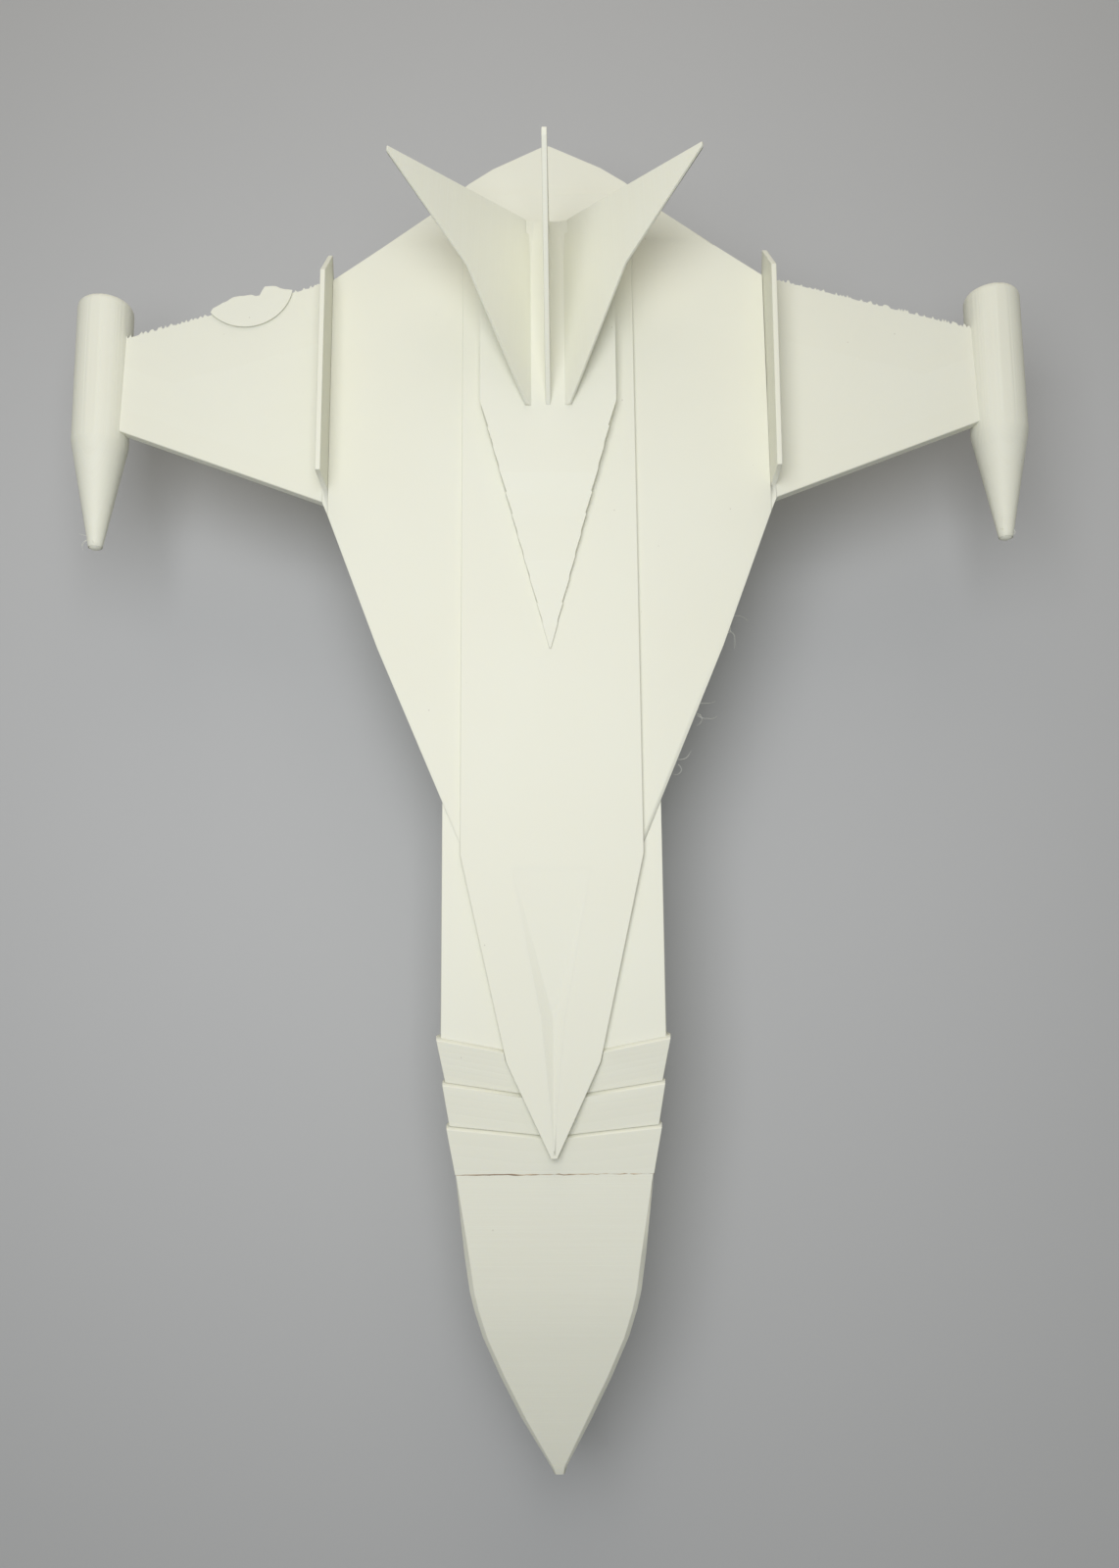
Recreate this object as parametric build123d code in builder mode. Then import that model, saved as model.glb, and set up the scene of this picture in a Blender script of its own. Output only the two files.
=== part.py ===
from build123d import *
import os
from math import cos, radians, sin, tan

# A display model of a delta-winged aircraft, printed in plastic and glued from a kit of
# separate pieces. The nose points to -Y, the tail to +Y, the span lies along X and +Z is up.
# The origin is on the table under the middle of the model. All sizes are in millimetres.

# Lengths along the body, from the nose tip to the tail tip.
nose_length = 56.3
neck_length = 26.2
barrel_length = 46.7
strake_length = 64.0
wing_root_chord = 51.6
tail_length = 33.2

# Hull shells.
hull_half_width = 22.2
hull_height = 36.0
hull_wall = 2.0
hull_joint_height = 18.0
hull_knuckle_height = 9.0
belly_half_width = 13.0
belly_rise_start = 15.0
hull_overrun = 10.0
hull_tail_half_width = 14.0
transom_low_height = 12.0
neck_half_width = 17.6
neck_drop = 2.1
lip_height = 1.5

# Nose cone. The stations are fractions of its length, with the half width there as a fraction
# of the half width at the joint, how far the top has fallen and how far the belly has risen.
nose_half_width = 19.3
nose_top_drop = 1.15
nose_edge = 1.0
nose_stations = (
    (0.0, 1.0, 0.0, 0.0),
    (0.266, 0.908, 0.4, 1.2),
    (0.387, 0.855, 0.8, 2.6),
    (0.448, 0.811, 1.1, 3.7),
    (0.538, 0.727, 1.7, 6.0),
    (0.67, 0.557, 2.9, 10.5),
    (0.812, 0.35, 4.3, 16.0),
    (0.972, 0.083, 6.2, 22.5),
    (1.0, 0.052, 6.8, 23.4),
)
bulkhead_thickness = 3.0
dowel_diameter = 4.0
dowel_length = 12.0
dowel_spacing = 16.0

# Gill bands, from the rear one forward: half widths at the rear and front, how far the rear
# edge sweeps forward to the middle, and the rear and front heights above the hull's top.
band_rear_half_widths = (23.05, 21.85, 21.05)
band_front_half_widths = (21.3, 20.45, 19.3)
band_sweeps = (4.4, 3.2, 2.1)
band_pitches = (8.7, 8.3)
band_rear_rises = (0.7, 0.0, -0.4)
band_front_rises = (-0.8, -1.0, -1.15)
band_bevel = 0.6
band_bottom = 8.0
band_strap = 0.8

# Wing, shared by the centre section and the outer panels.
wing_step = 0.4
wing_thickness = 2.5
wing_edge_thickness = 0.8
wing_root_x = 47.5
outer_span = 49.85
leading_sweep = 20.7
trailing_sweep = 16.1
wing_overlap = 5.9
strake_kink_share = 0.5
strake_kink_out = 13.6
strake_flare = 0.4
trailing_kink_x = 36.6
trailing_kink_aft = 7.3
trailing_rear_x = 25.5
trailing_rear_aft = 16.0
bevel_start_aft = 7.2
bevel_angle = 4.0
joiner_thickness = 0.8
joiner_length = 16.0
joiner_chord = 14.0
joiner_setback = 8.0
peg_diameter = 4.0
peg_boss_diameter = 9.0
peg_depth = 5.0

# Tail plate.
tail_plate_length = 13.9
tail_plate_front_x = 22.0
tail_plate_shoulder_x = 17.4
tail_plate_shoulder_aft = 4.3
tail_plate_rear_x = 12.0
tail_plate_rear_aft = 8.1
tail_tip_half_width = 0.65
tail_plate_edge = 0.9
tail_tongue_half_width = 10.0
tail_tongue_length = 6.0

# Deck and the canopy panel let into it. The canopy is measured aft from its own front tip.
deck_thickness = 1.0
deck_half_width = 18.4
deck_taper_start = 11.0
deck_kink_half_width = 9.2
deck_kink_ahead = 4.9
deck_tip_half_width = 0.6
deck_tip_gap = 3.2
canopy_thickness = 1.0
canopy_dish = 0.7
canopy_setback = 1.4
canopy_length = 54.4
canopy_rear_half_width = 7.8
canopy_waist_half_width = 2.3
canopy_waist = 25.3
canopy_neck_half_width = 0.6
canopy_neck = 8.4

# Arrow fairing and the three fins that stand on it.
fairing_half_width = 14.4
fairing_rear_aft = 9.6
fairing_side_length = 40.3
fairing_point_length = 53.4
fairing_front_height = 0.4
fairing_slope = 2.4
fin_thickness = 1.1
fin_root_chord = 41.5
fin_tab = 2.2
fin_tab_setback = 3.0
centre_fin_height = 28.0
centre_fin_top = 1.6
v_fin_root_x = 4.4
v_fin_cant = 49.1
v_fin_span = 35.2
v_fin_kink_span = 16.0
v_fin_kink_aft = 25.3
v_fin_tip = 0.8

# Fences.
fence_thickness = 1.1
fence_height = 7.8
fence_front_setback = 3.1
fence_front_rake = 0.9
fence_rear_setback = 2.6
fence_overhang = 5.5
fence_tail_height = 0.6

# Tip pods.
pod_radius = 5.85
pod_drop = 2.8
pod_body_length = 32.8
pod_lead = 2.2
pod_cone_length = 23.9
pod_cone_on_body = 3.3
pod_tip_radius = 1.35
pod_toe = 0.7
pod_rear_fillet = 2.0
pod_grip = 1.95
spigot_radius = 2.0
spigot_length = 4.0

# Anti-warp disc left on the left panel's trailing edge, cut short behind the wing.
ear_radius = 10.3
ear_from_fence = 19.2
ear_centre_aft = 5.0
ear_thickness = 0.3
ear_overhang = 2.4

# Clearances.
fit_gap = 0.05
shell_gap = 0.1

# Stations and heights that follow from the sizes above.
forward_length = nose_length + neck_length + barrel_length
overall_length = forward_length + strake_length + wing_root_chord + tail_length
nose_tip_y = -overall_length / 2
seam_y = nose_tip_y + nose_length
neck_end_y = seam_y + neck_length
strake_y = neck_end_y + barrel_length
wing_front_y = strake_y + strake_length
wing_rear_y = wing_front_y + wing_root_chord
tail_y = wing_rear_y + tail_length
tail_joint_y = tail_y - tail_plate_length
hull_end_y = wing_rear_y + hull_overrun
hull_taper_y = wing_front_y + hull_overrun
belly_end_y = wing_front_y + belly_rise_start
wing_top = hull_height + wing_step
wing_bottom = wing_top - wing_thickness
wing_middle = wing_top - wing_thickness / 2
cavity_top = wing_bottom - fit_gap - hull_wall
neck_top = hull_height - neck_drop
strap_top = neck_top + fit_gap + band_strap
deck_top = wing_top + deck_thickness
pod_x = wing_root_x + outer_span
pod_z = wing_top - pod_drop
fin_rear_y = wing_rear_y + fairing_rear_aft
fin_front_y = fin_rear_y - fin_root_chord
strake_end_x = wing_root_x + strake_flare
strake_kink_x = hull_half_width + strake_kink_out
strake_kink_y = strake_y + strake_length * strake_kink_share
inner_slope = strake_kink_out / (strake_kink_y - strake_y)
outer_slope = (strake_end_x - strake_kink_x) / (wing_front_y - strake_kink_y)
wing_front_x = hull_half_width - wing_overlap
wing_nose_y = strake_y - wing_overlap / inner_slope
wing_side_x = wing_root_x - fence_thickness / 2 - fit_gap
wing_side_y = wing_front_y - (strake_end_x - wing_side_x) / outer_slope
panel_root_x = wing_root_x + fence_thickness / 2 + fit_gap
panel_tip_x = pod_x - pod_radius + pod_grip
joiner_front_y = wing_front_y + joiner_setback
joiner_rear_y = joiner_front_y + joiner_chord
bevel_y = wing_rear_y + bevel_start_aft
bevel_drop = (tail_joint_y - bevel_y) * tan(radians(bevel_angle))
peg_ys = (strake_y + strake_length / 3, wing_rear_y - wing_root_chord / 4)
reach = pod_x + pod_radius

os.makedirs("parts", exist_ok=True)


def write(node, name):
    """Names a finished piece and writes it to its own file."""
    node.part.label = name
    export_step(node.part, f"parts/{name}.step")


def plate(points, low, high, mode=Mode.ADD):
    """Extrudes a plan outline between two heights."""
    with BuildSketch(Plane.XY.offset(low)) as outline:
        Polygon(*points, align=None)
    extrude(outline.sketch, amount=high - low, mode=mode)


def rib(points, centre_x, thickness, mode=Mode.ADD):
    """Extrudes a side profile of (y, z) points about a position along the span."""
    with BuildSketch(Plane.YZ.offset(centre_x)) as outline:
        Polygon(*points, align=None)
    extrude(outline.sketch, amount=thickness / 2, both=True, mode=mode)


def bar(points, front_y, rear_y, mode=Mode.ADD):
    """Extrudes a cross-section of (x, z) points from one station to another."""
    with BuildSketch(Plane.XZ.offset(-rear_y)) as outline:
        Polygon(*points, align=None)
    extrude(outline.sketch, amount=rear_y - front_y, mode=mode)


def block(low, high, mode=Mode.ADD):
    """Adds or cuts a box between two opposite corners."""
    corners = [(low[0], low[1]), (high[0], low[1]), (high[0], high[1]), (low[0], high[1])]
    plate(corners, low[2], high[2], mode)


def both_sides(points):
    """Closes a right-hand half outline with its mirror image."""
    return points + [(-across, along) for across, along in reversed(points)]


def hull_plan(inset):
    """Plan of the hull behind its neck, drawn in by an inset."""
    return both_sides([
        (hull_half_width - inset, seam_y),
        (hull_half_width - inset, hull_taper_y),
        (hull_tail_half_width - inset, hull_end_y - inset),
    ])


def hollow_plan(inset):
    """Plan of the hull with its narrower neck, drawn in by an inset."""
    return both_sides([
        (neck_half_width - inset, seam_y),
        (neck_half_width - inset, neck_end_y + inset),
        (hull_half_width - inset, neck_end_y + inset),
        (hull_half_width - inset, hull_taper_y),
        (hull_tail_half_width - inset, hull_end_y - inset),
    ])


def hull_section(inset, top):
    """Cross-section of the hull: flat sides over a chamfered belly, drawn in by an inset."""
    side = hull_half_width - inset
    return both_sides([(side, top), (side, hull_knuckle_height), (belly_half_width - inset, inset)])


def hull_profile(inset, top):
    """Side view of the hull: a flat belly that rises to the transom, drawn in by an inset."""
    rear_y = hull_end_y - inset
    return [(seam_y, inset), (belly_end_y, inset), (rear_y, transom_low_height + inset),
            (rear_y, top), (seam_y, top)]


def nose_section(across, top, knuckle, belly, bottom):
    """Cross-section of the nose cone, with its top edges broken."""
    edge = min(nose_edge, across / 3)
    return both_sides([(across - edge, top), (across, top - edge), (across, knuckle), (belly, bottom)])


def deck_plan(gap):
    """Plan of the deck, grown by a gap."""
    return both_sides([
        (deck_tip_half_width + gap, seam_y + deck_tip_gap - gap),
        (deck_kink_half_width + gap, neck_end_y - deck_kink_ahead),
        (deck_half_width + gap, strake_y - deck_taper_start),
        (deck_half_width + gap, tail_joint_y),
    ])


def canopy_plan(gap):
    """Plan of the canopy panel, grown by a gap, from its front tip aft."""
    tip_y = seam_y + deck_tip_gap + canopy_setback
    return both_sides([
        (gap + fit_gap, tip_y - gap),
        (canopy_neck_half_width + gap, tip_y + canopy_neck),
        (canopy_waist_half_width + gap, tip_y + canopy_waist),
        (canopy_rear_half_width + gap, tip_y + canopy_length + gap),
    ])


def wing_plan(gap):
    """Plan of the wing's centre section. The gap moves its front edges forward."""
    return both_sides([
        (wing_front_x, wing_nose_y - gap),
        (strake_kink_x, strake_kink_y - gap),
        (wing_side_x, wing_side_y - gap),
        (wing_side_x, wing_rear_y),
        (trailing_kink_x, wing_rear_y + trailing_kink_aft),
        (trailing_rear_x, wing_rear_y + trailing_rear_aft),
        (tail_plate_front_x, tail_joint_y),
    ])


def panel_edges(across):
    """Leading and trailing edge stations of the outer panel at a distance from the middle."""
    out = across - wing_root_x
    front_y = wing_front_y + out * tan(radians(leading_sweep))
    rear_y = wing_rear_y - out * tan(radians(trailing_sweep))
    return front_y, rear_y


def panel_section(across, direction, gap=0.0):
    """Half of the outer panel's section, above or below its middle, grown by a gap."""
    front_y, rear_y = panel_edges(across)
    front_z = wing_middle + direction * (wing_thickness / 2 + gap)
    rear_z = wing_middle + direction * (wing_edge_thickness / 2 + gap)
    return [(front_y - gap, wing_middle), (rear_y + gap, wing_middle),
            (rear_y + gap, rear_z), (front_y - gap, front_z)]


def fairing_top(along):
    """Height of the arrow fairing's top at a station."""
    rise = (along - fin_rear_y + fairing_side_length + fairing_point_length) * tan(radians(fairing_slope))
    return deck_top + fairing_front_height + rise


def fin_plane(side):
    """Plane of a fin's blade: its X runs aft along the fairing's top and its Y up the blade."""
    lean = radians(side * v_fin_cant)
    climb = radians(fairing_slope)
    root = (side * v_fin_root_x, fin_rear_y, fairing_top(fin_rear_y))
    normal = (cos(lean), sin(climb) * sin(lean), -cos(climb) * sin(lean))
    return Plane(origin=root, x_dir=(0, cos(climb), sin(climb)), z_dir=normal)


fin_planes = [fin_plane(side) for side in (-1, 0, 1)]

# Gill band stations. Each rear edge is a shallow V that points to the nose.
band_rear_ys = [neck_end_y]
for pitch in band_pitches:
    band_rear_ys.append(band_rear_ys[-1] - pitch)
band_middle_ys = [rear - sweep for rear, sweep in zip(band_rear_ys, band_sweeps)]
shoulder_slope = band_sweeps[0] / band_rear_half_widths[0]
shoulder_side_y = band_middle_ys[0] + shoulder_slope * reach
shoulder_line = [(-reach, shoulder_side_y), (0, band_middle_ys[0]), (reach, shoulder_side_y)]

# The hollow inside the hull, used as a cutter.
with BuildPart() as hull_hollow:
    bar(hull_section(hull_wall, cavity_top), seam_y, hull_end_y)
    plate(hollow_plan(hull_wall), 0, cavity_top, Mode.INTERSECT)
    rib(hull_profile(hull_wall, cavity_top), 0, 2 * reach, Mode.INTERSECT)

# Everything around the neck and ahead of the V-shaped shoulder, used as a cutter.
with BuildPart() as neck_cutter:
    plate([(reach, nose_tip_y), (-reach, nose_tip_y)] + shoulder_line, -1, hull_height + 1)
    block((-neck_half_width, nose_tip_y, -1), (neck_half_width, neck_end_y, neck_top), Mode.SUBTRACT)

with BuildPart() as hull_lower:
    bar(hull_section(0, hull_joint_height), seam_y, hull_end_y)
    plate(hull_plan(0), 0, hull_joint_height, Mode.INTERSECT)
    rib(hull_profile(0, hull_joint_height), 0, 2 * reach, Mode.INTERSECT)
    add(neck_cutter.part, mode=Mode.SUBTRACT)
    add(hull_hollow.part, mode=Mode.SUBTRACT)
    with BuildSketch(Plane.XY.offset(hull_joint_height)):
        Polygon(*hollow_plan(hull_wall / 2), align=None)
        Polygon(*hollow_plan(hull_wall), align=None, mode=Mode.SUBTRACT)
    extrude(amount=lip_height)
write(hull_lower, "hull_lower")

with BuildPart() as hull_upper:
    plate(hull_plan(0), hull_joint_height, hull_height)
    add(neck_cutter.part, mode=Mode.SUBTRACT)
    add(hull_hollow.part, mode=Mode.SUBTRACT)
    groove_top = hull_joint_height + lip_height + fit_gap
    plate(hollow_plan(hull_wall / 2 - fit_gap), hull_joint_height, groove_top, Mode.SUBTRACT)
    recess = wing_plan(shell_gap)
    plate(recess, wing_bottom - fit_gap, hull_height + 1, Mode.SUBTRACT)
    boss_top = cavity_top + hull_wall / 2
    boss_bottom = cavity_top - peg_depth
    for peg_y in peg_ys:
        with Locations((0, peg_y, boss_bottom)):
            Cylinder(peg_boss_diameter / 2, boss_top - boss_bottom,
                     align=(Align.CENTER, Align.CENTER, Align.MIN))
        with Locations((0, peg_y, boss_bottom + hull_wall)):
            Cylinder(peg_diameter / 2 + fit_gap, hull_height,
                     align=(Align.CENTER, Align.CENTER, Align.MIN), mode=Mode.SUBTRACT)
write(hull_upper, "hull_upper")

# Pegs that line the wing up with the hull.
peg_bottom = boss_bottom + hull_wall
for name, peg_y in zip(("wing_peg_front", "wing_peg_rear"), peg_ys):
    with BuildPart(Plane((0, peg_y, peg_bottom))) as peg:
        Cylinder(peg_diameter / 2, wing_top - peg_bottom, align=(Align.CENTER, Align.CENTER, Align.MIN))
    write(peg, name)

# Bulkhead that closes the neck and carries the nose dowels.
dowel_z = hull_joint_height
with BuildPart() as nose_bulkhead:
    inside = hull_wall + shell_gap
    bar(hull_section(inside, cavity_top - shell_gap), seam_y, seam_y + bulkhead_thickness)
    low = (-neck_half_width + inside, seam_y - 1, 0)
    high = (neck_half_width - inside, seam_y + bulkhead_thickness + 1, cavity_top)
    block(low, high, Mode.INTERSECT)
    with Locations(Plane.XZ.offset(-seam_y)):
        with Locations((dowel_spacing / 2, dowel_z), (-dowel_spacing / 2, dowel_z)):
            Cylinder(dowel_diameter / 2 + fit_gap, 4 * bulkhead_thickness, mode=Mode.SUBTRACT)
write(nose_bulkhead, "nose_bulkhead")

for side, name in ((-1, "nose_dowel_left"), (1, "nose_dowel_right")):
    with BuildPart(Plane.XZ.offset(-seam_y - bulkhead_thickness)) as dowel:
        with Locations((side * dowel_spacing / 2, dowel_z)):
            Cylinder(dowel_diameter / 2, dowel_length, align=(Align.CENTER, Align.CENTER, Align.MIN))
    write(dowel, name)

# The nose follows the neck's section at the joint and shrinks to a blunt tip.
nose_top = hull_height - nose_top_drop
chamfer_slope = hull_knuckle_height / (hull_half_width - belly_half_width)
with BuildPart() as nose_cone:
    for run, share, fall, rise in nose_stations:
        across = nose_half_width * share
        belly = belly_half_width * share
        knuckle = rise + (across - belly) * chamfer_slope
        with BuildSketch(Plane.XZ.offset(nose_length * run - seam_y)):
            Polygon(*nose_section(across, nose_top - fall, knuckle, belly, rise), align=None)
    loft(ruled=True)
    with Locations(Plane.XZ.offset(-seam_y)):
        with Locations((dowel_spacing / 2, dowel_z), (-dowel_spacing / 2, dowel_z)):
            depth = dowel_length - bulkhead_thickness + shell_gap
            Cylinder(dowel_diameter / 2 + fit_gap, 2 * depth, mode=Mode.SUBTRACT)
write(nose_cone, "nose_cone")

# Gill bands: each half is a wedge that slopes down ahead of its rear edge.
for index, (rear_y, middle_y) in enumerate(zip(band_rear_ys, band_middle_ys)):
    last = index == len(band_rear_ys) - 1
    front_y = seam_y if last else band_rear_ys[index + 1]
    front_middle_y = seam_y if last else band_middle_ys[index + 1]
    rear_x = band_rear_half_widths[index]
    front_x = band_front_half_widths[index]
    sweep = band_sweeps[index]
    rear_z = hull_height + band_rear_rises[index]
    fall = (band_rear_rises[index] - band_front_rises[index]) / (rear_y - front_y)
    run = 2 * (middle_y - front_middle_y)
    wedge = [(0, band_bottom), (0, rear_z - band_bevel), (band_bevel, rear_z),
             (run, rear_z - fall * run), (run, band_bottom)]
    edge_line = Vector(rear_x, sweep, 0).normalized()
    edge_plane = Plane(origin=(0, middle_y, 0), x_dir=(edge_line.Y, -edge_line.X, 0), z_dir=-edge_line)
    with BuildPart() as band_half:
        with BuildSketch(edge_plane):
            Polygon(*wedge, align=None)
        extrude(amount=reach, both=True)
        outline = [(0, middle_y), (rear_x, rear_y), (front_x, front_y), (0, front_middle_y)]
        plate(outline, band_bottom, deck_top, Mode.INTERSECT)
        neck_low = (-neck_half_width - fit_gap, nose_tip_y, 0)
        neck_high = (neck_half_width + fit_gap, neck_end_y, neck_top + fit_gap)
        block(neck_low, neck_high, Mode.SUBTRACT)
        plate(deck_plan(shell_gap), strap_top, deck_top, Mode.SUBTRACT)
    with BuildPart() as band:
        add(band_half.part)
        mirror(about=Plane.YZ)
    write(band, f"gill_band_{index + 1}")

# Wing centre section, in two skins bonded at the middle of its thickness. The pockets for the
# joiners and the tail plate's tongue are cut half in each skin.
joiner_in = wing_root_x - joiner_length / 2 - shell_gap
for name, direction in (("wing_centre_upper", 1), ("wing_centre_lower", -1)):
    face_z = wing_middle + direction * wing_thickness / 2
    pocket_z = wing_middle + direction * (joiner_thickness / 2 + fit_gap)
    pocket_low = min(wing_middle, pocket_z)
    pocket_high = max(wing_middle, pocket_z)
    with BuildPart() as skin:
        plate(wing_plan(0), min(wing_middle, face_z), max(wing_middle, face_z))
        for side in (-1, 1):
            block((min(side * joiner_in, side * reach), joiner_front_y - fit_gap, pocket_low),
                  (max(side * joiner_in, side * reach), joiner_rear_y + fit_gap, pocket_high),
                  Mode.SUBTRACT)
            if direction > 0:
                bevel = [(bevel_y, wing_top), (tail_joint_y, wing_top),
                         (tail_joint_y, wing_top - bevel_drop)]
                bevel_in = deck_half_width + shell_gap
                rib(bevel, side * (bevel_in + reach / 2), reach, Mode.SUBTRACT)
        block((-tail_tongue_half_width - fit_gap, tail_joint_y - tail_tongue_length - shell_gap, pocket_low),
              (tail_tongue_half_width + fit_gap, tail_y, pocket_high), Mode.SUBTRACT)
        for peg_y in peg_ys:
            with Locations((0, peg_y, wing_middle)):
                Cylinder(peg_diameter / 2 + fit_gap, 2 * wing_thickness, mode=Mode.SUBTRACT)
    write(skin, name)

# Tail plate, held by a tongue between the two skins.
with BuildPart() as tail_plate:
    outline = both_sides([
        (tail_plate_front_x, tail_joint_y),
        (tail_plate_shoulder_x, tail_joint_y + tail_plate_shoulder_aft),
        (tail_plate_rear_x, tail_joint_y + tail_plate_rear_aft),
        (tail_tip_half_width, tail_y),
    ])
    plate(outline, wing_bottom, wing_top)
    side_view = [(tail_joint_y, wing_bottom), (tail_y, wing_bottom),
                 (tail_y, wing_bottom + tail_plate_edge), (tail_joint_y, wing_top - bevel_drop)]
    rib(side_view, 0, 2 * reach, Mode.INTERSECT)
    tongue_z = joiner_thickness / 2
    block((-tail_tongue_half_width, tail_joint_y - tail_tongue_length, wing_middle - tongue_z),
          (tail_tongue_half_width, tail_joint_y + 1, wing_middle + tongue_z))
write(tail_plate, "tail_plate")

# Outer panels, in two skins like the centre section, with the joiner strips between them.
for side, hand in ((-1, "left"), (1, "right")):
    joiner_low = (side * wing_root_x - joiner_length / 2, joiner_front_y, wing_middle - joiner_thickness / 2)
    joiner_high = (side * wing_root_x + joiner_length / 2, joiner_rear_y, wing_middle + joiner_thickness / 2)
    with BuildPart() as joiner:
        block(joiner_low, joiner_high)
    write(joiner, f"wing_joiner_{hand}")

    for skin_name, direction in (("upper", 1), ("lower", -1)):
        with BuildPart() as skin:
            for across in (panel_root_x, panel_tip_x):
                with BuildSketch(Plane.YZ.offset(side * across)):
                    Polygon(*panel_section(across, direction), align=None)
            loft(ruled=True)
            block((joiner_low[0] - shell_gap, joiner_low[1] - fit_gap, joiner_low[2] - fit_gap),
                  (joiner_high[0] + shell_gap, joiner_high[1] + fit_gap, joiner_high[2] + fit_gap),
                  Mode.SUBTRACT)
        write(skin, f"wing_panel_{hand}_{skin_name}")

    # Fence: an end plate between the centre section and the panel, pierced for the joiner.
    base_y = wing_front_y + fence_front_setback
    crest_z = wing_top + fence_height
    tail_z = wing_top + fence_tail_height
    fence_outline = [
        (wing_side_y, wing_bottom), (wing_side_y, wing_top), (base_y, wing_top),
        (base_y + fence_front_rake, crest_z), (wing_rear_y - fence_rear_setback, crest_z),
        (wing_rear_y + fence_overhang, tail_z), (wing_rear_y, wing_middle),
        (wing_rear_y, wing_bottom),
    ]
    with BuildPart() as fence:
        rib(fence_outline, side * wing_root_x, fence_thickness)
        ahead = [(side * wing_side_x, wing_side_y), (side * panel_root_x, panel_edges(panel_root_x)[0]),
                 (side * panel_root_x, strake_y), (side * wing_side_x, strake_y)]
        plate(ahead, wing_bottom, wing_top, Mode.SUBTRACT)
        block((joiner_low[0], joiner_low[1] - fit_gap, joiner_low[2] - fit_gap),
              (joiner_high[0], joiner_high[1] + fit_gap, joiner_high[2] + fit_gap), Mode.SUBTRACT)
    write(fence, f"fence_{hand}")

    # Pod: the barrel grips the panel's tip in a slot, and the cone plugs into its front. Both
    # are turned about one axis that runs aft from the cylinder's front and is toed in.
    toe = radians(side * pod_toe)
    aft = Vector(sin(toe), cos(toe), 0)
    middle = Vector(side * pod_x, panel_edges(panel_tip_x)[0] - pod_lead + pod_body_length / 2, pod_z)
    pod_plane = Plane(origin=middle - aft * pod_body_length / 2, x_dir=aft, z_dir=(0, 0, 1))
    pod_axis = Axis(pod_plane.origin, aft)
    split_radius = pod_radius - (pod_radius - pod_tip_radius) * pod_cone_on_body / pod_cone_length
    socket_end = spigot_length - pod_cone_on_body + shell_gap
    with BuildPart() as pod_barrel:
        with BuildSketch(pod_plane):
            Polygon((-pod_cone_on_body, spigot_radius + fit_gap), (-pod_cone_on_body, split_radius),
                    (0, pod_radius), (pod_body_length, pod_radius), (pod_body_length, 0),
                    (socket_end, 0), (socket_end, spigot_radius + fit_gap), align=None)
        revolve(axis=pod_axis)
        fillet(pod_barrel.edges().sort_by(Axis.Y)[-1], pod_rear_fillet)
        slot_x = pod_x - pod_radius
        slot = panel_section(slot_x, 1, fit_gap)[2:] + panel_section(slot_x, -1, fit_gap)[:1:-1]
        with BuildSketch(Plane.YZ.offset(side * (panel_tip_x + shell_gap))):
            Polygon(*slot, align=None)
        extrude(amount=-side * 2 * pod_radius, mode=Mode.SUBTRACT)
    write(pod_barrel, f"pod_barrel_{hand}")

    with BuildPart() as pod_cone:
        with BuildSketch(pod_plane):
            Polygon((-pod_cone_length, 0), (-pod_cone_length, pod_tip_radius),
                    (-pod_cone_on_body, split_radius), (-pod_cone_on_body, spigot_radius),
                    (socket_end - shell_gap, spigot_radius), (socket_end - shell_gap, 0), align=None)
        revolve(axis=pod_axis)
        fillet(pod_cone.edges().sort_by(Axis.Y)[0], pod_tip_radius * 0.9)
    write(pod_cone, f"pod_cone_{hand}")

# Deck: a plate whose underside steps down from the wing to the hull and then to the neck.
with BuildPart() as dorsal_deck:
    deck_bottom = strap_top + fit_gap
    plate(deck_plan(0), deck_bottom, deck_top)
    behind = [(reach, tail_y), (-reach, tail_y)] + shoulder_line
    plate(behind, deck_bottom, hull_height, Mode.SUBTRACT)
    plate(wing_plan(shell_gap), deck_bottom, wing_top, Mode.SUBTRACT)
    plate(canopy_plan(fit_gap), deck_top - canopy_thickness, deck_top, Mode.SUBTRACT)
write(dorsal_deck, "dorsal_deck")

# Canopy panel, dished to a low point on the centre line.
dish_y = seam_y + deck_tip_gap + canopy_setback + canopy_waist
with BuildPart() as canopy:
    plate(canopy_plan(0), deck_top - canopy_thickness, deck_top)
    floor = [(across * fit_gap, dish_y + (along - dish_y) * fit_gap) for across, along in canopy_plan(0)]
    with BuildSketch(Plane.XY.offset(deck_top)):
        Polygon(*canopy_plan(0), align=None)
    with BuildSketch(Plane.XY.offset(deck_top - canopy_dish)):
        Polygon(*floor, align=None)
    loft(ruled=True, mode=Mode.SUBTRACT)
write(canopy, "canopy")

# Arrow fairing, with slots for the fins' root tabs.
side_y = fin_rear_y - fairing_side_length
point_y = side_y - fairing_point_length
tab_front = fin_tab_setback - fin_root_chord
slot_width = fin_thickness + 2 * fit_gap
with BuildPart() as arrow_fairing:
    outline = both_sides([(fin_thickness / 2, point_y), (fairing_half_width, side_y),
                          (fairing_half_width, fin_rear_y)])
    plate(outline, deck_top, fairing_top(fin_rear_y))
    side_view = [(point_y, deck_top), (fin_rear_y, deck_top),
                 (fin_rear_y, fairing_top(fin_rear_y)), (point_y, fairing_top(point_y))]
    rib(side_view, 0, 2 * reach, Mode.INTERSECT)
    slot = [(tab_front - fit_gap, -fin_tab - fit_gap), (fit_gap - fin_tab_setback, -fin_tab - fit_gap),
            (fit_gap - fin_tab_setback, fin_tab), (tab_front - fit_gap, fin_tab)]
    for plane in fin_planes:
        with BuildSketch(plane):
            Polygon(*slot, align=None)
        extrude(amount=slot_width / 2, both=True, mode=Mode.SUBTRACT)
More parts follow.
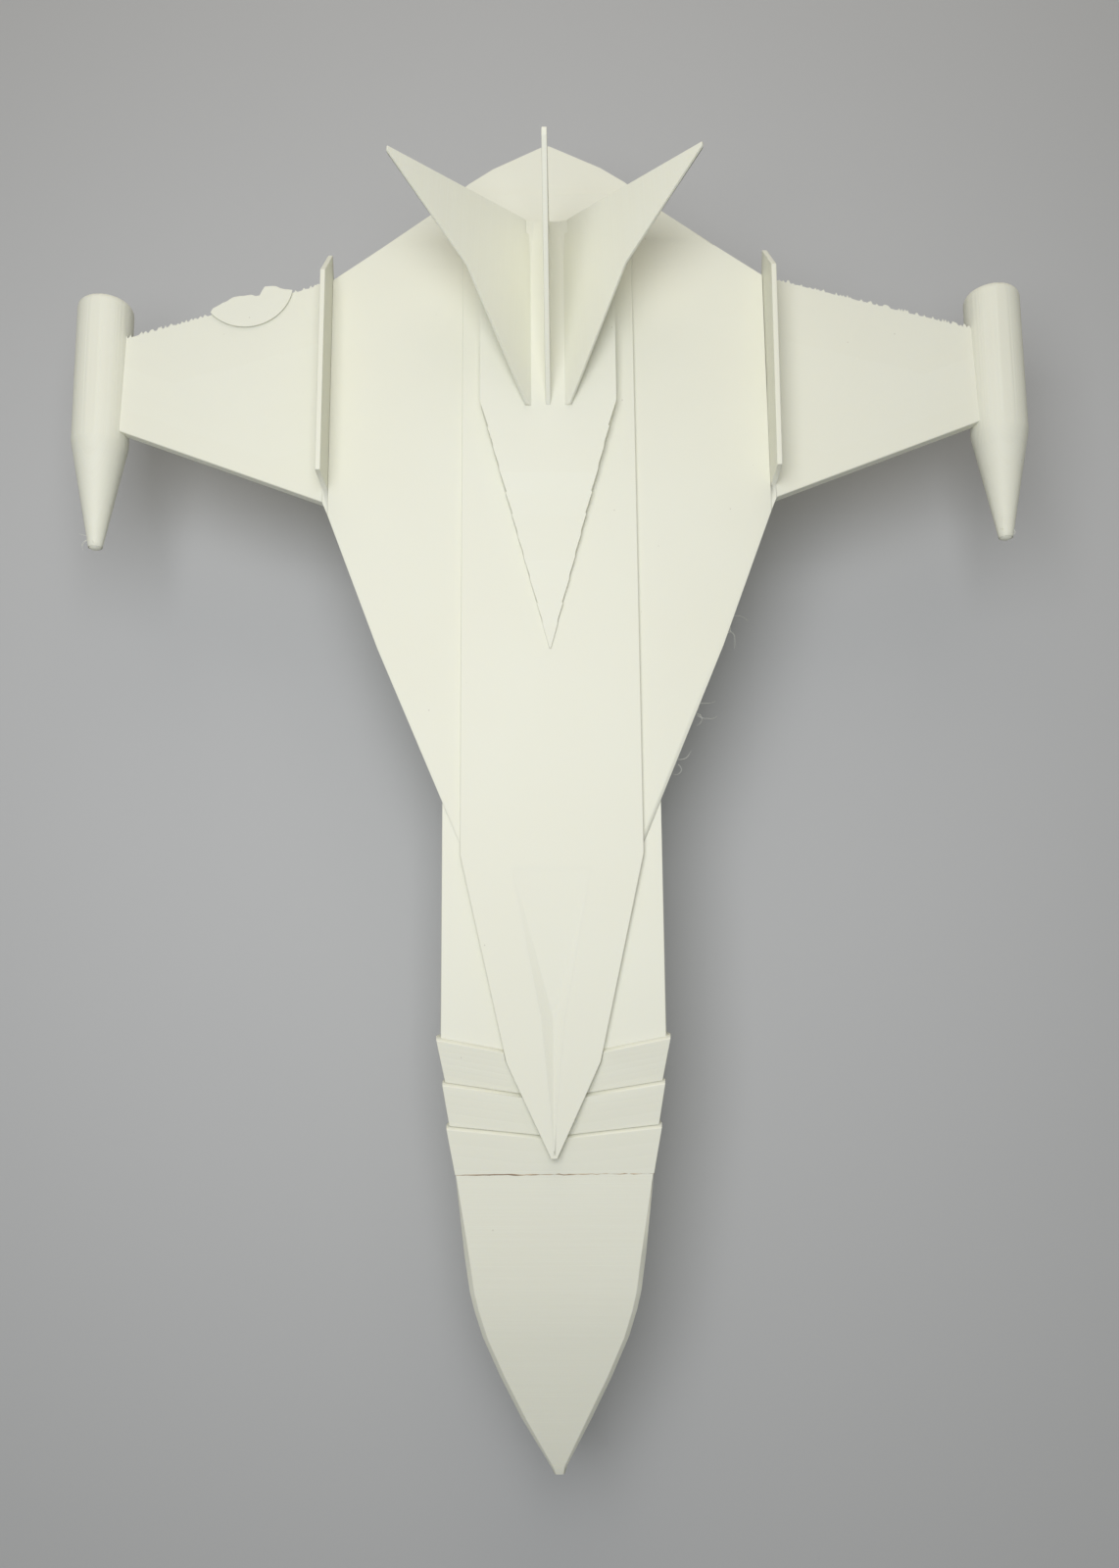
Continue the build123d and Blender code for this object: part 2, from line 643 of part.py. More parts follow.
write(arrow_fairing, "arrow_fairing")

# Fin blades, drawn aft and up from the rear end of their root. The canted pair clear the
# fairing's top by the thickness of their slanted root edge.
lean = radians(v_fin_cant)
upright = tan(radians(fairing_slope))
centre_blade = [
    (-fin_root_chord, 0), (0, 0), (centre_fin_height * upright, centre_fin_height),
    (centre_fin_height * upright - centre_fin_top, centre_fin_height),
]
lift = fin_thickness / 2 * tan(lean) + fit_gap
tip_aft = v_fin_span * upright * cos(lean)
v_blade = [
    (-fin_root_chord, lift), (0, lift), (tip_aft, v_fin_span), (tip_aft - v_fin_tip, v_fin_span),
    (v_fin_kink_aft - fin_root_chord, v_fin_kink_span),
]
fin_names = ("v_fin_left", "centre_fin", "v_fin_right")
for name, plane, blade in zip(fin_names, fin_planes, (v_blade, centre_blade, v_blade)):
    tab = [(tab_front, -fin_tab), (-fin_tab_setback, -fin_tab),
           (-fin_tab_setback, blade[0][1]), (tab_front, blade[0][1])]
    with BuildPart() as fin:
        with BuildSketch(plane):
            Polygon(*blade, align=None)
            Polygon(*tab, align=None)
        extrude(amount=fin_thickness / 2, both=True)
    write(fin, name)

# Remnant of the anti-warp disc, bonded to the left panel and snipped off behind it.
ear_x = -(wing_root_x + ear_from_fence)
ear_edge_y = panel_edges(-ear_x)[1]
panel_slope = (wing_thickness - wing_edge_thickness) / 2
panel_slope /= ear_edge_y - panel_edges(-ear_x)[0]
ear_lean = radians(trailing_sweep)
ear_z = wing_middle + wing_edge_thickness / 2
ear_normal = (0, panel_slope, 1)
ear_plane = Plane(origin=(ear_x, ear_edge_y, ear_z + shell_gap), x_dir=(1, 0, 0), z_dir=ear_normal)
with BuildPart() as brim_ear:
    with BuildSketch(ear_plane):
        with Locations((0, ear_centre_aft)):
            Circle(ear_radius)
        with Locations((0, ear_overhang)):
            Rectangle(4 * ear_radius, 2 * ear_radius, rotation=trailing_sweep,
                      align=(Align.CENTER, Align.MIN), mode=Mode.SUBTRACT)
    extrude(amount=ear_thickness)
write(brim_ear, "brim_ear")
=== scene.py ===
"""Display model of a delta-winged aircraft, printed in ivory plastic and glued from a kit of pieces.

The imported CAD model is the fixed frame. Each class below holds the sizes of one sub-assembly in
millimetres, builds its meshes in the frame's place and dresses them in their finish.
"""

import logging
import math
import random
from dataclasses import dataclass, field
from enum import Enum
from typing import Callable

import bmesh
import bpy
from bmesh.types import BMesh, BMEdge, BMFace, BMVert
from mathutils import Matrix, Vector


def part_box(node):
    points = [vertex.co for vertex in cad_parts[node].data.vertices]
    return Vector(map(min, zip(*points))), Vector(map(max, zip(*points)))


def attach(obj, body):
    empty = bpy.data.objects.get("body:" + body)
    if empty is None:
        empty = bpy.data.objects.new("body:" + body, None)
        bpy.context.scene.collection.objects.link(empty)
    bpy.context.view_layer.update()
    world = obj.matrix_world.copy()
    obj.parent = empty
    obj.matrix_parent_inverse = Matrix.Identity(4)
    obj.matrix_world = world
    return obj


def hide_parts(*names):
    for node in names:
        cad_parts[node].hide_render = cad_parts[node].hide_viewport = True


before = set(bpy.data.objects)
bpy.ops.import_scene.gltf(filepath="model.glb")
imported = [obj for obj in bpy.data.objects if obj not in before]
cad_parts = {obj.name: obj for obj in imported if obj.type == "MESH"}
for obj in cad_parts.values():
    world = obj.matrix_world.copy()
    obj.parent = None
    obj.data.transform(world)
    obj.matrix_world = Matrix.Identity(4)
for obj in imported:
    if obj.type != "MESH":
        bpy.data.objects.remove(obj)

MM = 0.001
BODY = "root"
MERGE_DISTANCE = 0.002 * MM
HEIGHT_MARGIN = 0.02 * MM
CREASE_ANGLE = math.radians(46.0)
FLAT_ANGLE = math.radians(1.0)
SHARP_ANGLE = math.radians(24.0)
SEED = 20

log = logging.getLogger("display_model")


class Stacking(Enum):
    """Direction in which a piece's printed layers are stacked."""

    UPRIGHT = (0.0, 0.0, 1.0)
    LENGTHWISE = (0.0, 1.0, 0.0)


class Side(Enum):
    """Left or right half of the aircraft, as the sign of X."""

    LEFT = -1
    RIGHT = 1

    @property
    def word(self) -> str:
        """Name of the side as the CAD nodes spell it."""
        return self.name.lower()


# --------------------------------------------------------------------------------------------------
# Shader node groups, built once and placed in each material with its own values.
# --------------------------------------------------------------------------------------------------


@dataclass
class NodeBoard:
    """A node tree under construction, with short calls for adding and joining nodes."""

    tree: bpy.types.NodeTree

    def add(self, kind: str, **settings: object) -> bpy.types.Node:
        """Adds a node and sets its own properties.

        Args:
            kind: the node's type name.
            settings: property names and values.

        Returns:
            The new node.
        """
        node = self.tree.nodes.new(kind)
        for key, value in settings.items():
            setattr(node, key, value)
        return node

    def feed(self, socket: bpy.types.NodeSocket, value: object) -> None:
        """Links an output to a socket, or sets the socket's own value.

        Args:
            socket: the input to feed.
            value: an output socket, a number or a tuple.
        """
        if isinstance(value, bpy.types.NodeSocket):
            self.tree.links.new(value, socket)
        else:
            socket.default_value = value

    def math(self, operation: str, *values: object) -> bpy.types.NodeSocket:
        """Adds a Math node fed with the values and returns its result."""
        node = self.add("ShaderNodeMath", operation=operation)
        for socket, value in zip(node.inputs, values):
            self.feed(socket, value)
        return node.outputs[0]

    def dot(self, first: object, second: object) -> bpy.types.NodeSocket:
        """Adds a dot product of two vectors and returns its value."""
        node = self.add("ShaderNodeVectorMath", operation="DOT_PRODUCT")
        self.feed(node.inputs[0], first)
        self.feed(node.inputs[1], second)
        return node.outputs["Value"]

    def noise(self, vector: object, scale: float, detail: float) -> bpy.types.NodeSocket:
        """Adds a noise pattern and returns its factor."""
        node = self.add("ShaderNodeTexNoise")
        self.feed(node.inputs["Vector"], vector)
        node.inputs["Scale"].default_value = scale
        node.inputs["Detail"].default_value = detail
        return node.outputs["Fac"]


def new_group(name: str, inputs: dict[str, str], outputs: dict[str, str]) -> tuple[NodeBoard, dict, dict]:
    """Starts a shader node group with named sockets.

    Args:
        name: the group's name.
        inputs: input names and socket types.
        outputs: output names and socket types.

    Returns:
        The board of the group, its inside inputs by name and its inside outputs by name.
    """
    tree = bpy.data.node_groups.new(name, "ShaderNodeTree")
    for label, kind in inputs.items():
        tree.interface.new_socket(name=label, in_out="INPUT", socket_type=kind)
    for label, kind in outputs.items():
        tree.interface.new_socket(name=label, in_out="OUTPUT", socket_type=kind)
    board = NodeBoard(tree)
    entry = board.add("NodeGroupInput")
    leave = board.add("NodeGroupOutput")
    return board, {s.name: s for s in entry.outputs}, {s.name: s for s in leave.inputs}


def layer_lines_group() -> bpy.types.NodeTree:
    """Builds the group that stacks printed layers along a direction.

    Returns:
        The group. Height is the rounded profile of each layer and Tone a value per layer.
    """
    board, given, put = new_group(
        "printed_layers",
        {"Vector": "NodeSocketVector", "Stacking": "NodeSocketVector", "Layer": "NodeSocketFloat"},
        {"Height": "NodeSocketFloat", "Tone": "NodeSocketFloat"},
    )
    along = board.dot(given["Vector"], given["Stacking"])
    wander = board.math("MULTIPLY", board.noise(given["Vector"], 90.0, 2.0), 0.04 * MM)
    count = board.math("DIVIDE", board.math("ADD", along, wander), given["Layer"])
    across = board.math("ABSOLUTE", board.math("MULTIPLY_ADD", board.math("FRACT", count), 2.0, -1.0))
    bulge = board.math("SUBTRACT", 1.0, board.math("POWER", across, 3.0))
    draw = board.add("ShaderNodeTexWhiteNoise", noise_dimensions="1D")
    board.feed(draw.inputs["W"], board.math("FLOOR", count))
    tone = draw.outputs["Value"]
    board.feed(put["Height"], board.math("MULTIPLY", bulge, board.math("MULTIPLY_ADD", tone, 0.5, 0.75)))
    board.feed(put["Tone"], tone)
    return board.tree


def top_raster_group() -> bpy.types.NodeTree:
    """Builds the group for the slanting strokes that fill a print's top faces.

    Returns:
        The group. Height is the strokes' profile, already faded out on faces that don't look up.
    """
    board, given, put = new_group(
        "top_strokes",
        {"Vector": "NodeSocketVector", "Across": "NodeSocketVector", "Stroke": "NodeSocketFloat"},
        {"Height": "NodeSocketFloat"},
    )
    along = board.dot(given["Vector"], given["Across"])
    wander = board.math("MULTIPLY", board.noise(given["Vector"], 40.0, 2.0), 0.10 * MM)
    count = board.math("DIVIDE", board.math("ADD", along, wander), given["Stroke"])
    across = board.math("ABSOLUTE", board.math("MULTIPLY_ADD", board.math("FRACT", count), 2.0, -1.0))
    bulge = board.math("SUBTRACT", 1.0, board.math("POWER", across, 4.0))
    surface = board.add("ShaderNodeNewGeometry")
    facing = board.add("ShaderNodeSeparateXYZ")
    board.feed(facing.inputs[0], surface.outputs["Normal"])
    looks_up = board.add("ShaderNodeMapRange", interpolation_type="SMOOTHSTEP")
    board.feed(looks_up.inputs["Value"], facing.outputs["Z"])
    looks_up.inputs["From Min"].default_value = 0.90
    looks_up.inputs["From Max"].default_value = 0.99
    board.feed(put["Height"], board.math("MULTIPLY", bulge, looks_up.outputs["Result"]))
    return board.tree


def mottle_group() -> bpy.types.NodeTree:
    """Builds the group for the uneven tone, fine grain and dust specks of bare printed plastic.

    Returns:
        The group. Cloud is the slow change of tone, Grain the fine one and Speck a mask of dust.
    """
    board, given, put = new_group(
        "plastic_mottle",
        {"Vector": "NodeSocketVector"},
        {"Cloud": "NodeSocketFloat", "Grain": "NodeSocketFloat", "Speck": "NodeSocketFloat"},
    )
    board.feed(put["Cloud"], board.noise(given["Vector"], 28.0, 3.0))
    board.feed(put["Grain"], board.noise(given["Vector"], 2600.0, 2.0))
    spots = board.add("ShaderNodeTexVoronoi")
    board.feed(spots.inputs["Vector"], given["Vector"])
    spots.inputs["Scale"].default_value = 150.0
    near = board.math("LESS_THAN", spots.outputs["Distance"], 0.022)
    board.feed(put["Speck"], near)
    return board.tree


# --------------------------------------------------------------------------------------------------
# Finishes.
# --------------------------------------------------------------------------------------------------

Colour = tuple[float, float, float, float]


@dataclass(frozen=True)
class PrintedFinish:
    """Bare printed plastic, with its layers, top strokes and uneven tone."""

    name: str
    pale: Colour = (0.795, 0.800, 0.695, 1.0)
    deep: Colour = (0.768, 0.762, 0.645, 1.0)
    dust: Colour = (0.42, 0.38, 0.31, 1.0)
    stacking: Stacking = Stacking.UPRIGHT
    layer: float = 0.2
    layer_depth: float = 0.010
    stroke: float = 0.42
    stroke_depth: float = 0.0022
    stroke_heading: float = 45.0
    grain_depth: float = 0.0015
    roughness: float = 0.50
    roughness_spread: float = 0.08
    speck_strength: float = 0.45
    translucency: float = 0.06

    def material(self, groups: dict[str, bpy.types.NodeTree]) -> bpy.types.Material:
        """Builds the material.

        Args:
            groups: the shared node groups by name.

        Returns:
            The finished material.
        """
        made = bpy.data.materials.new(self.name)
        made.use_nodes = True
        board = NodeBoard(made.node_tree)
        shader = made.node_tree.nodes["Principled BSDF"]
        place = board.add("ShaderNodeTexCoord").outputs["Object"]

        layers = board.add("ShaderNodeGroup", node_tree=groups["layers"])
        board.feed(layers.inputs["Vector"], place)
        layers.inputs["Stacking"].default_value = self.stacking.value
        layers.inputs["Layer"].default_value = self.layer * MM

        strokes = board.add("ShaderNodeGroup", node_tree=groups["strokes"])
        board.feed(strokes.inputs["Vector"], place)
        heading = math.radians(self.stroke_heading)
        strokes.inputs["Across"].default_value = (math.cos(heading), math.sin(heading), 0.0)
        strokes.inputs["Stroke"].default_value = self.stroke * MM

        mottle = board.add("ShaderNodeGroup", node_tree=groups["mottle"])
        board.feed(mottle.inputs["Vector"], place)

        tone = board.math("MULTIPLY_ADD", layers.outputs["Tone"], 0.25, mottle.outputs["Cloud"])
        blend = board.add("ShaderNodeMix", data_type="RGBA")
        board.feed(blend.inputs["Factor"], board.math("SUBTRACT", tone, 0.125))
        board.feed(blend.inputs["A"], self.deep)
        board.feed(blend.inputs["B"], self.pale)
        dusted = board.add("ShaderNodeMix", data_type="RGBA")
        speck = board.math("MULTIPLY", mottle.outputs["Speck"], self.speck_strength)
        board.feed(dusted.inputs["Factor"], speck)
        board.feed(dusted.inputs["A"], blend.outputs["Result"])
        board.feed(dusted.inputs["B"], self.dust)
        board.feed(shader.inputs["Base Color"], dusted.outputs["Result"])

        spread = board.math("MULTIPLY_ADD", mottle.outputs["Cloud"], self.roughness_spread, self.roughness)
        board.feed(shader.inputs["Roughness"], spread)

        normal = None
        for height, depth in (
            (layers.outputs["Height"], self.layer_depth),
            (strokes.outputs["Height"], self.stroke_depth),
            (mottle.outputs["Grain"], self.grain_depth),
        ):
            bump = board.add("ShaderNodeBump")
            bump.inputs["Distance"].default_value = depth * MM
            board.feed(bump.inputs["Height"], height)
            if normal is not None:
                board.feed(bump.inputs["Normal"], normal)
            normal = bump.outputs["Normal"]
        board.feed(shader.inputs["Normal"], normal)

        shader.inputs["Subsurface Weight"].default_value = self.translucency
        shader.inputs["Subsurface Radius"].default_value = (1.0, 0.85, 0.5)
        shader.inputs["Subsurface Scale"].default_value = 1.2 * MM
        shader.inputs["IOR"].default_value = 1.46
        shader.inputs["Specular IOR Level"].default_value = 0.40
        return made


@dataclass(frozen=True)
class GlueFinish:
    """Dried amber glue that has picked up dirt along the joint."""

    name: str = "joint_glue"
    clean: Colour = (0.60, 0.49, 0.35, 1.0)
    dirty: Colour = (0.26, 0.18, 0.11, 1.0)

    def material(self, groups: dict[str, bpy.types.NodeTree]) -> bpy.types.Material:
        """Builds the material.

        Args:
            groups: the shared node groups by name.

        Returns:
            The finished material.
        """
        made = bpy.data.materials.new(self.name)
        made.use_nodes = True
        board = NodeBoard(made.node_tree)
        shader = made.node_tree.nodes["Principled BSDF"]
        place = board.add("ShaderNodeTexCoord").outputs["Object"]
        mottle = board.add("ShaderNodeGroup", node_tree=groups["mottle"])
        board.feed(mottle.inputs["Vector"], place)
        patches = board.add("ShaderNodeMapRange")
        board.feed(patches.inputs["Value"], board.noise(place, 210.0, 3.0))
        patches.inputs["From Min"].default_value = 0.42
        patches.inputs["From Max"].default_value = 0.60
        blend = board.add("ShaderNodeMix", data_type="RGBA")
        board.feed(blend.inputs["Factor"], patches.outputs["Result"])
        board.feed(blend.inputs["A"], self.clean)
        board.feed(blend.inputs["B"], self.dirty)
        board.feed(shader.inputs["Base Color"], blend.outputs["Result"])
        board.feed(shader.inputs["Roughness"], board.math("MULTIPLY_ADD", mottle.outputs["Cloud"], 0.2, 0.25))
        bump = board.add("ShaderNodeBump")
        bump.inputs["Distance"].default_value = 0.01 * MM
        board.feed(bump.inputs["Height"], mottle.outputs["Grain"])
        board.feed(shader.inputs["Normal"], bump.outputs["Normal"])
        return made


@dataclass
class FinishSet:
    """All the finishes of the model, made once."""

    made: dict[str, bpy.types.Material] = field(default_factory=dict)

    def make(self) -> "FinishSet":
        """Builds the shared groups and every material.

        Returns:
            The set itself.
        """
        groups = {"layers": layer_lines_group(), "strokes": top_raster_group(), "mottle": mottle_group()}
        for key, finish in {
            "hull": PrintedFinish("ivory_hull_print"),
            "nose": PrintedFinish("ivory_nose_print", stacking=Stacking.LENGTHWISE, stroke_depth=0.0),
            "wing": PrintedFinish("ivory_wing_print", stroke_heading=-45.0),
            "panel": PrintedFinish("ivory_panel_print", stroke_heading=0.0, stroke_depth=0.0015),
            "deck": PrintedFinish("ivory_deck_print", stroke_heading=35.0),
            "fin": PrintedFinish("ivory_fin_print", stroke_depth=0.0, layer_depth=0.008),
            "pod": PrintedFinish("ivory_pod_print", stroke_depth=0.0),
            "wisp": PrintedFinish("ivory_wisps", translucency=0.25, stroke_depth=0.0, layer_depth=0.0),
            "joining": PrintedFinish(
                "joining_print",
                pale=(0.70, 0.67, 0.57, 1.0),
                deep=(0.64, 0.60, 0.50, 1.0),
            ),
            "glue": GlueFinish(),
        }.items():
            self.made[key] = finish.material(groups)
        return self

    def __getitem__(self, key: str) -> bpy.types.Material:
        """Material of a finish by its short name."""
        return self.made[key]


# --------------------------------------------------------------------------------------------------
# Mesh tools shared by the sub-assemblies.
# --------------------------------------------------------------------------------------------------


def copy_of(node: str) -> BMesh:
    """Takes a copy of a CAD node, merged and with its flat areas made whole faces.

    Args:
        node: the CAD node's name.

    Returns:
        The copy.
    """
    mesh = new_mesh()
    mesh.from_mesh(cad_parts[node].data)
    bmesh.ops.remove_doubles(mesh, verts=mesh.verts, dist=MERGE_DISTANCE)
    bmesh.ops.dissolve_limit(mesh, angle_limit=FLAT_ANGLE, verts=mesh.verts, edges=mesh.edges)
    return mesh


def new_mesh() -> BMesh:
    """Starts an empty mesh."""
    return bmesh.new()


def middle_of(edge: BMEdge) -> Vector:
    """Middle point of an edge."""
    return (edge.verts[0].co + edge.verts[1].co) / 2


def soften(mesh: BMesh, width: float, where: Callable[[BMEdge], bool] = lambda edge: True) -> None:
    """Breaks the sharp edges of a mesh with a narrow rounded bevel.

    Args:
        mesh: the mesh to work on.
        width: width of the bevel in millimetres.
        where: which of the sharp edges to break.
    """
    edges = [e for e in mesh.edges if e.is_manifold and e.calc_face_angle(0.0) > SHARP_ANGLE and where(e)]
    bmesh.ops.bevel(
        mesh,
        geom=edges,
        offset=width * MM,
        offset_type="OFFSET",
        affect="EDGES",
        segments=2,
        profile=0.5,
        material=-1,
        clamp_overlap=True,
    )


def raised(mesh: BMesh, faces: list[BMFace], height: float, keep_base: bool) -> list[BMFace]:
    """Extrudes faces straight up.

    Args:
        mesh: the mesh to work on.
        faces: the faces to raise.
        height: how far, in metres.
        keep_base: whether the faces stay behind as the underside of a new solid.

    Returns:
        The raised faces.
    """
    grown = bmesh.ops.extrude_face_region(mesh, geom=faces)["geom"]
    bmesh.ops.translate(mesh, verts=[g for g in grown if isinstance(g, BMVert)], vec=(0, 0, height))
    if not keep_base:
        bmesh.ops.delete(mesh, geom=faces, context="FACES")
    return [g for g in grown if isinstance(g, BMFace)]


def soft_step(count: float, crispness: float) -> float:
    """Turns a steady climb, counted in layers, into a flight of soft steps.

    Args:
        count: the height in layers.
        crispness: 1 for a plain slope, more for sharper steps.

    Returns:
        The stepped height in layers.
    """
    whole = math.floor(count)
    rise = (count - whole) ** crispness
    fall = (1.0 - (count - whole)) ** crispness
    return whole + rise / (rise + fall)


def tube(mesh: BMesh, points: list[Vector], radii: list[float], sides: int) -> None:
    """Lays a closed round strand along points.

    Args:
        mesh: the mesh to add to.
        points: the strand's middle line.
        radii: its radius at each point, in metres.
        sides: how many sides it has.
    """
    rings = []
    for index, (point, radius) in enumerate(zip(points, radii)):
        ahead = points[min(index + 1, len(points) - 1)] - points[max(index - 1, 0)]
        turn = ahead.to_track_quat("Z", "Y").to_matrix().to_4x4()
        ring = bmesh.ops.create_circle(
            mesh, cap_ends=False, segments=sides, radius=radius, matrix=Matrix.Translation(point) @ turn
        )["verts"]
        rings.append(list({edge for vert in ring for edge in vert.link_edges}))
    caps = rings[0] + rings[-1]
    for near, far in zip(rings, rings[1:]):
        bmesh.ops.bridge_loops(mesh, edges=near + far)
    bmesh.ops.holes_fill(mesh, edges=caps, sides=sides)


def settle(
    mesh: BMesh,
    name: str,
    material: bpy.types.Material,
    nodes: tuple[str, ...] = (),
    recalculate: bool = False,
    weighted: bool = True,
) -> bpy.types.Object:
    """Turns a finished mesh into a piece that rides on the model.

    Args:
        mesh: the mesh, which is freed.
        name: the piece's name.
        material: its finish.
        nodes: the CAD nodes that it stands for.
        recalculate: whether its faces still have to be turned outwards.
        weighted: whether its shading follows its large faces.

    Returns:
        The new object.
    """
    if recalculate:
        bmesh.ops.recalc_face_normals(mesh, faces=mesh.faces)
    data = bpy.data.meshes.new(name)
    mesh.to_mesh(data)
    mesh.free()
    data.polygons.foreach_set("use_smooth", [True] * len(data.polygons))
    data.set_sharp_from_angle(angle=CREASE_ANGLE)
    data.materials.append(material)
    piece = bpy.data.objects.new(name, data)
    bpy.context.scene.collection.objects.link(piece)
    if weighted:
        shading = piece.modifiers.new("face_weighted_shading", "WEIGHTED_NORMAL")
        shading.keep_sharp = True
    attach(piece, BODY)
    if nodes:
        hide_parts(*nodes)
    log.info("%s: %d faces", name, len(data.polygons))
    return piece


# --------------------------------------------------------------------------------------------------
# Sub-assemblies.
# --------------------------------------------------------------------------------------------------


@dataclass
class Hull:
    """The two hull shells behind the neck."""

    edge: float = 0.25
    side_margin: float = 0.05

    def build(self, finishes: FinishSet) -> None:
        """Builds both shells with broken outer edges.

        Args:
            finishes: the model's finishes.
        """
        for node in ("hull_upper", "hull_lower"):
            half_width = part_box(node)[1].x
            shell = copy_of(node)
            soften(shell, self.edge, lambda e, half_width=half_width: self.outside(e, half_width))
            settle(shell, f"{node}_shell", finishes["hull"], (node,))

    def outside(self, edge: BMEdge, half_width: float) -> bool:
        """Whether an edge lies on the shell's long outer sides."""
        return half_width - abs(middle_of(edge).x) < self.side_margin * MM


@dataclass
class Nose:
    """The nose cone, with a tip that leans a little to the right."""

    edge: float = 0.12
    shoulder_reach: float = 1.7
    shoulder_drop: float = 0.5
    shoulder_fill: float = 0.80
    tip_lean: float = 0.45
    tip_length: float = 9.0
    hole_sides: int = 12
    shortest_edge: float = 1.5

    def build(self, finishes: FinishSet) -> None:
        """Builds the cone with broken edges and its leaning tip.

        Args:
            finishes: the model's finishes.
        """
        low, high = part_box("nose_cone")
        cone = copy_of("nose_cone")
        self.fill_shoulder(cone, high.z)
        soften(cone, self.edge, lambda e: middle_of(e).y < high.y - 2 * self.edge * MM and self.outer(e))
        for vert in cone.verts:
            share = max(0.0, 1.0 - (vert.co.y - low.y) / (self.tip_length * MM))
            vert.co.x += self.tip_lean * MM * share**2
        settle(cone, "nose_cone_shell", finishes["nose"], ("nose_cone",))

    def fill_shoulder(self, cone: BMesh, top: float) -> None:
        """Draws the top face out over the shoulder, so that only a fine edge is left.

        Args:
            cone: the nose cone's mesh.
            top: the height of its top face.
        """
        for edge in cone.edges:
            upper, lower = sorted(edge.verts, key=lambda vert: -vert.co.z)
            at_top = abs(upper.co.z - top) < HEIGHT_MARGIN
            steep = upper.co.z - lower.co.z > self.shoulder_drop * MM
            if at_top and steep and edge.calc_length() < self.shoulder_reach * MM:
                upper.co.x += (lower.co.x - upper.co.x) * self.shoulder_fill
                upper.co.y += (lower.co.y - upper.co.y) * self.shoulder_fill

    def outer(self, edge: BMEdge) -> bool:
        """Whether an edge is on the outside and not on a dowel hole's rim."""
        plain = all(len(face.verts) < self.hole_sides for face in edge.link_faces)
        return plain and edge.calc_length() > self.shortest_edge * MM


@dataclass
class NoseJoint:
    """The bead of dried glue round the nose's butt joint."""

    radius: float = 0.15
    radius_range: tuple[float, float] = (0.45, 1.25)
    spacing: float = 0.9
    wander: float = 0.05
    sides: int = 6
    sink: float = 0.05
    belly_half_width: float = 13.0
    knuckle_height: float = 8.9
    shoulder: float = 0.3

    def build(self, finishes: FinishSet) -> None:
        """Lays the bead up one side, across the top and down the other.

        Args:
            finishes: the model's finishes.
        """
        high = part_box("nose_cone")[1]
        inset = self.sink * MM
        half = high.x - inset
        top = high.z - inset
        shoulder = self.shoulder * MM
        corners = [
            Vector((self.belly_half_width * MM, high.y, 2 * self.radius * MM)),
            Vector((half, high.y, self.knuckle_height * MM)),
            Vector((half, high.y, top - shoulder)),
            Vector((half - shoulder, high.y, top)),
        ]
        corners += [Vector((-c.x, c.y, c.z)) for c in reversed(corners)]
        draw = random.Random(SEED)
        points = []
        for start, end in zip(corners, corners[1:]):
            count = max(1, round((end - start).length / (self.spacing * MM)))
            points += [start.lerp(end, step / count) for step in range(count)]
        points.append(corners[-1])
        for point in points:
            point.y += draw.gauss(0.0, self.wander) * MM
        radii = [self.radius * MM * draw.uniform(*self.radius_range) for _ in points]
        bead = new_mesh()
        tube(bead, points, radii, self.sides)
        settle(bead, "nose_joint_glue", finishes["glue"], recalculate=True, weighted=False)


@dataclass
class GillBands:
    """Three bands behind the nose that overlap like scales."""

    edge: float = 0.10
    bevel: float = 0.6
    bevel_drop: float = 0.40
    bevel_run: float = 0.26
    foot_clearance: float = 1.0
    top_margin: float = 0.3
    side_share: float = 0.8

    def build(self, finishes: FinishSet) -> None:
        """Builds each band with a deeper rear bevel and broken edges.

        Args:
            finishes: the model's finishes.
        """
        for index in (1, 2, 3):
            node = f"gill_band_{index}"
            low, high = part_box(node)
            band = copy_of(node)
            foot = high.z - self.bevel * MM
            for vert in band.verts:
                if abs(vert.co.z - foot) < HEIGHT_MARGIN:
                    vert.co.z -= self.bevel_drop * MM
                    vert.co.y += self.bevel_run * MM
            soften(band, self.edge, lambda e, low=low, high=high: self.shown(e, low, high))
            settle(band, f"{node}_scale", finishes["hull"], (node,))

    def shown(self, edge: BMEdge, low: Vector, high: Vector) -> bool:
        """Whether an edge is on the band's outside, above its foot.

        Args:
            edge: the edge in question.
            low: the lowest corner of the band's box.
            high: the highest corner of the band's box.

        Returns:
            True for the edges of the top and the outer sides.
        """
        middle = middle_of(edge)
        above_foot = middle.z > low.z + self.foot_clearance * MM
        on_top = middle.z > high.z - self.top_margin * MM
        return above_foot and (on_top or abs(middle.x) > self.side_share * high.x)


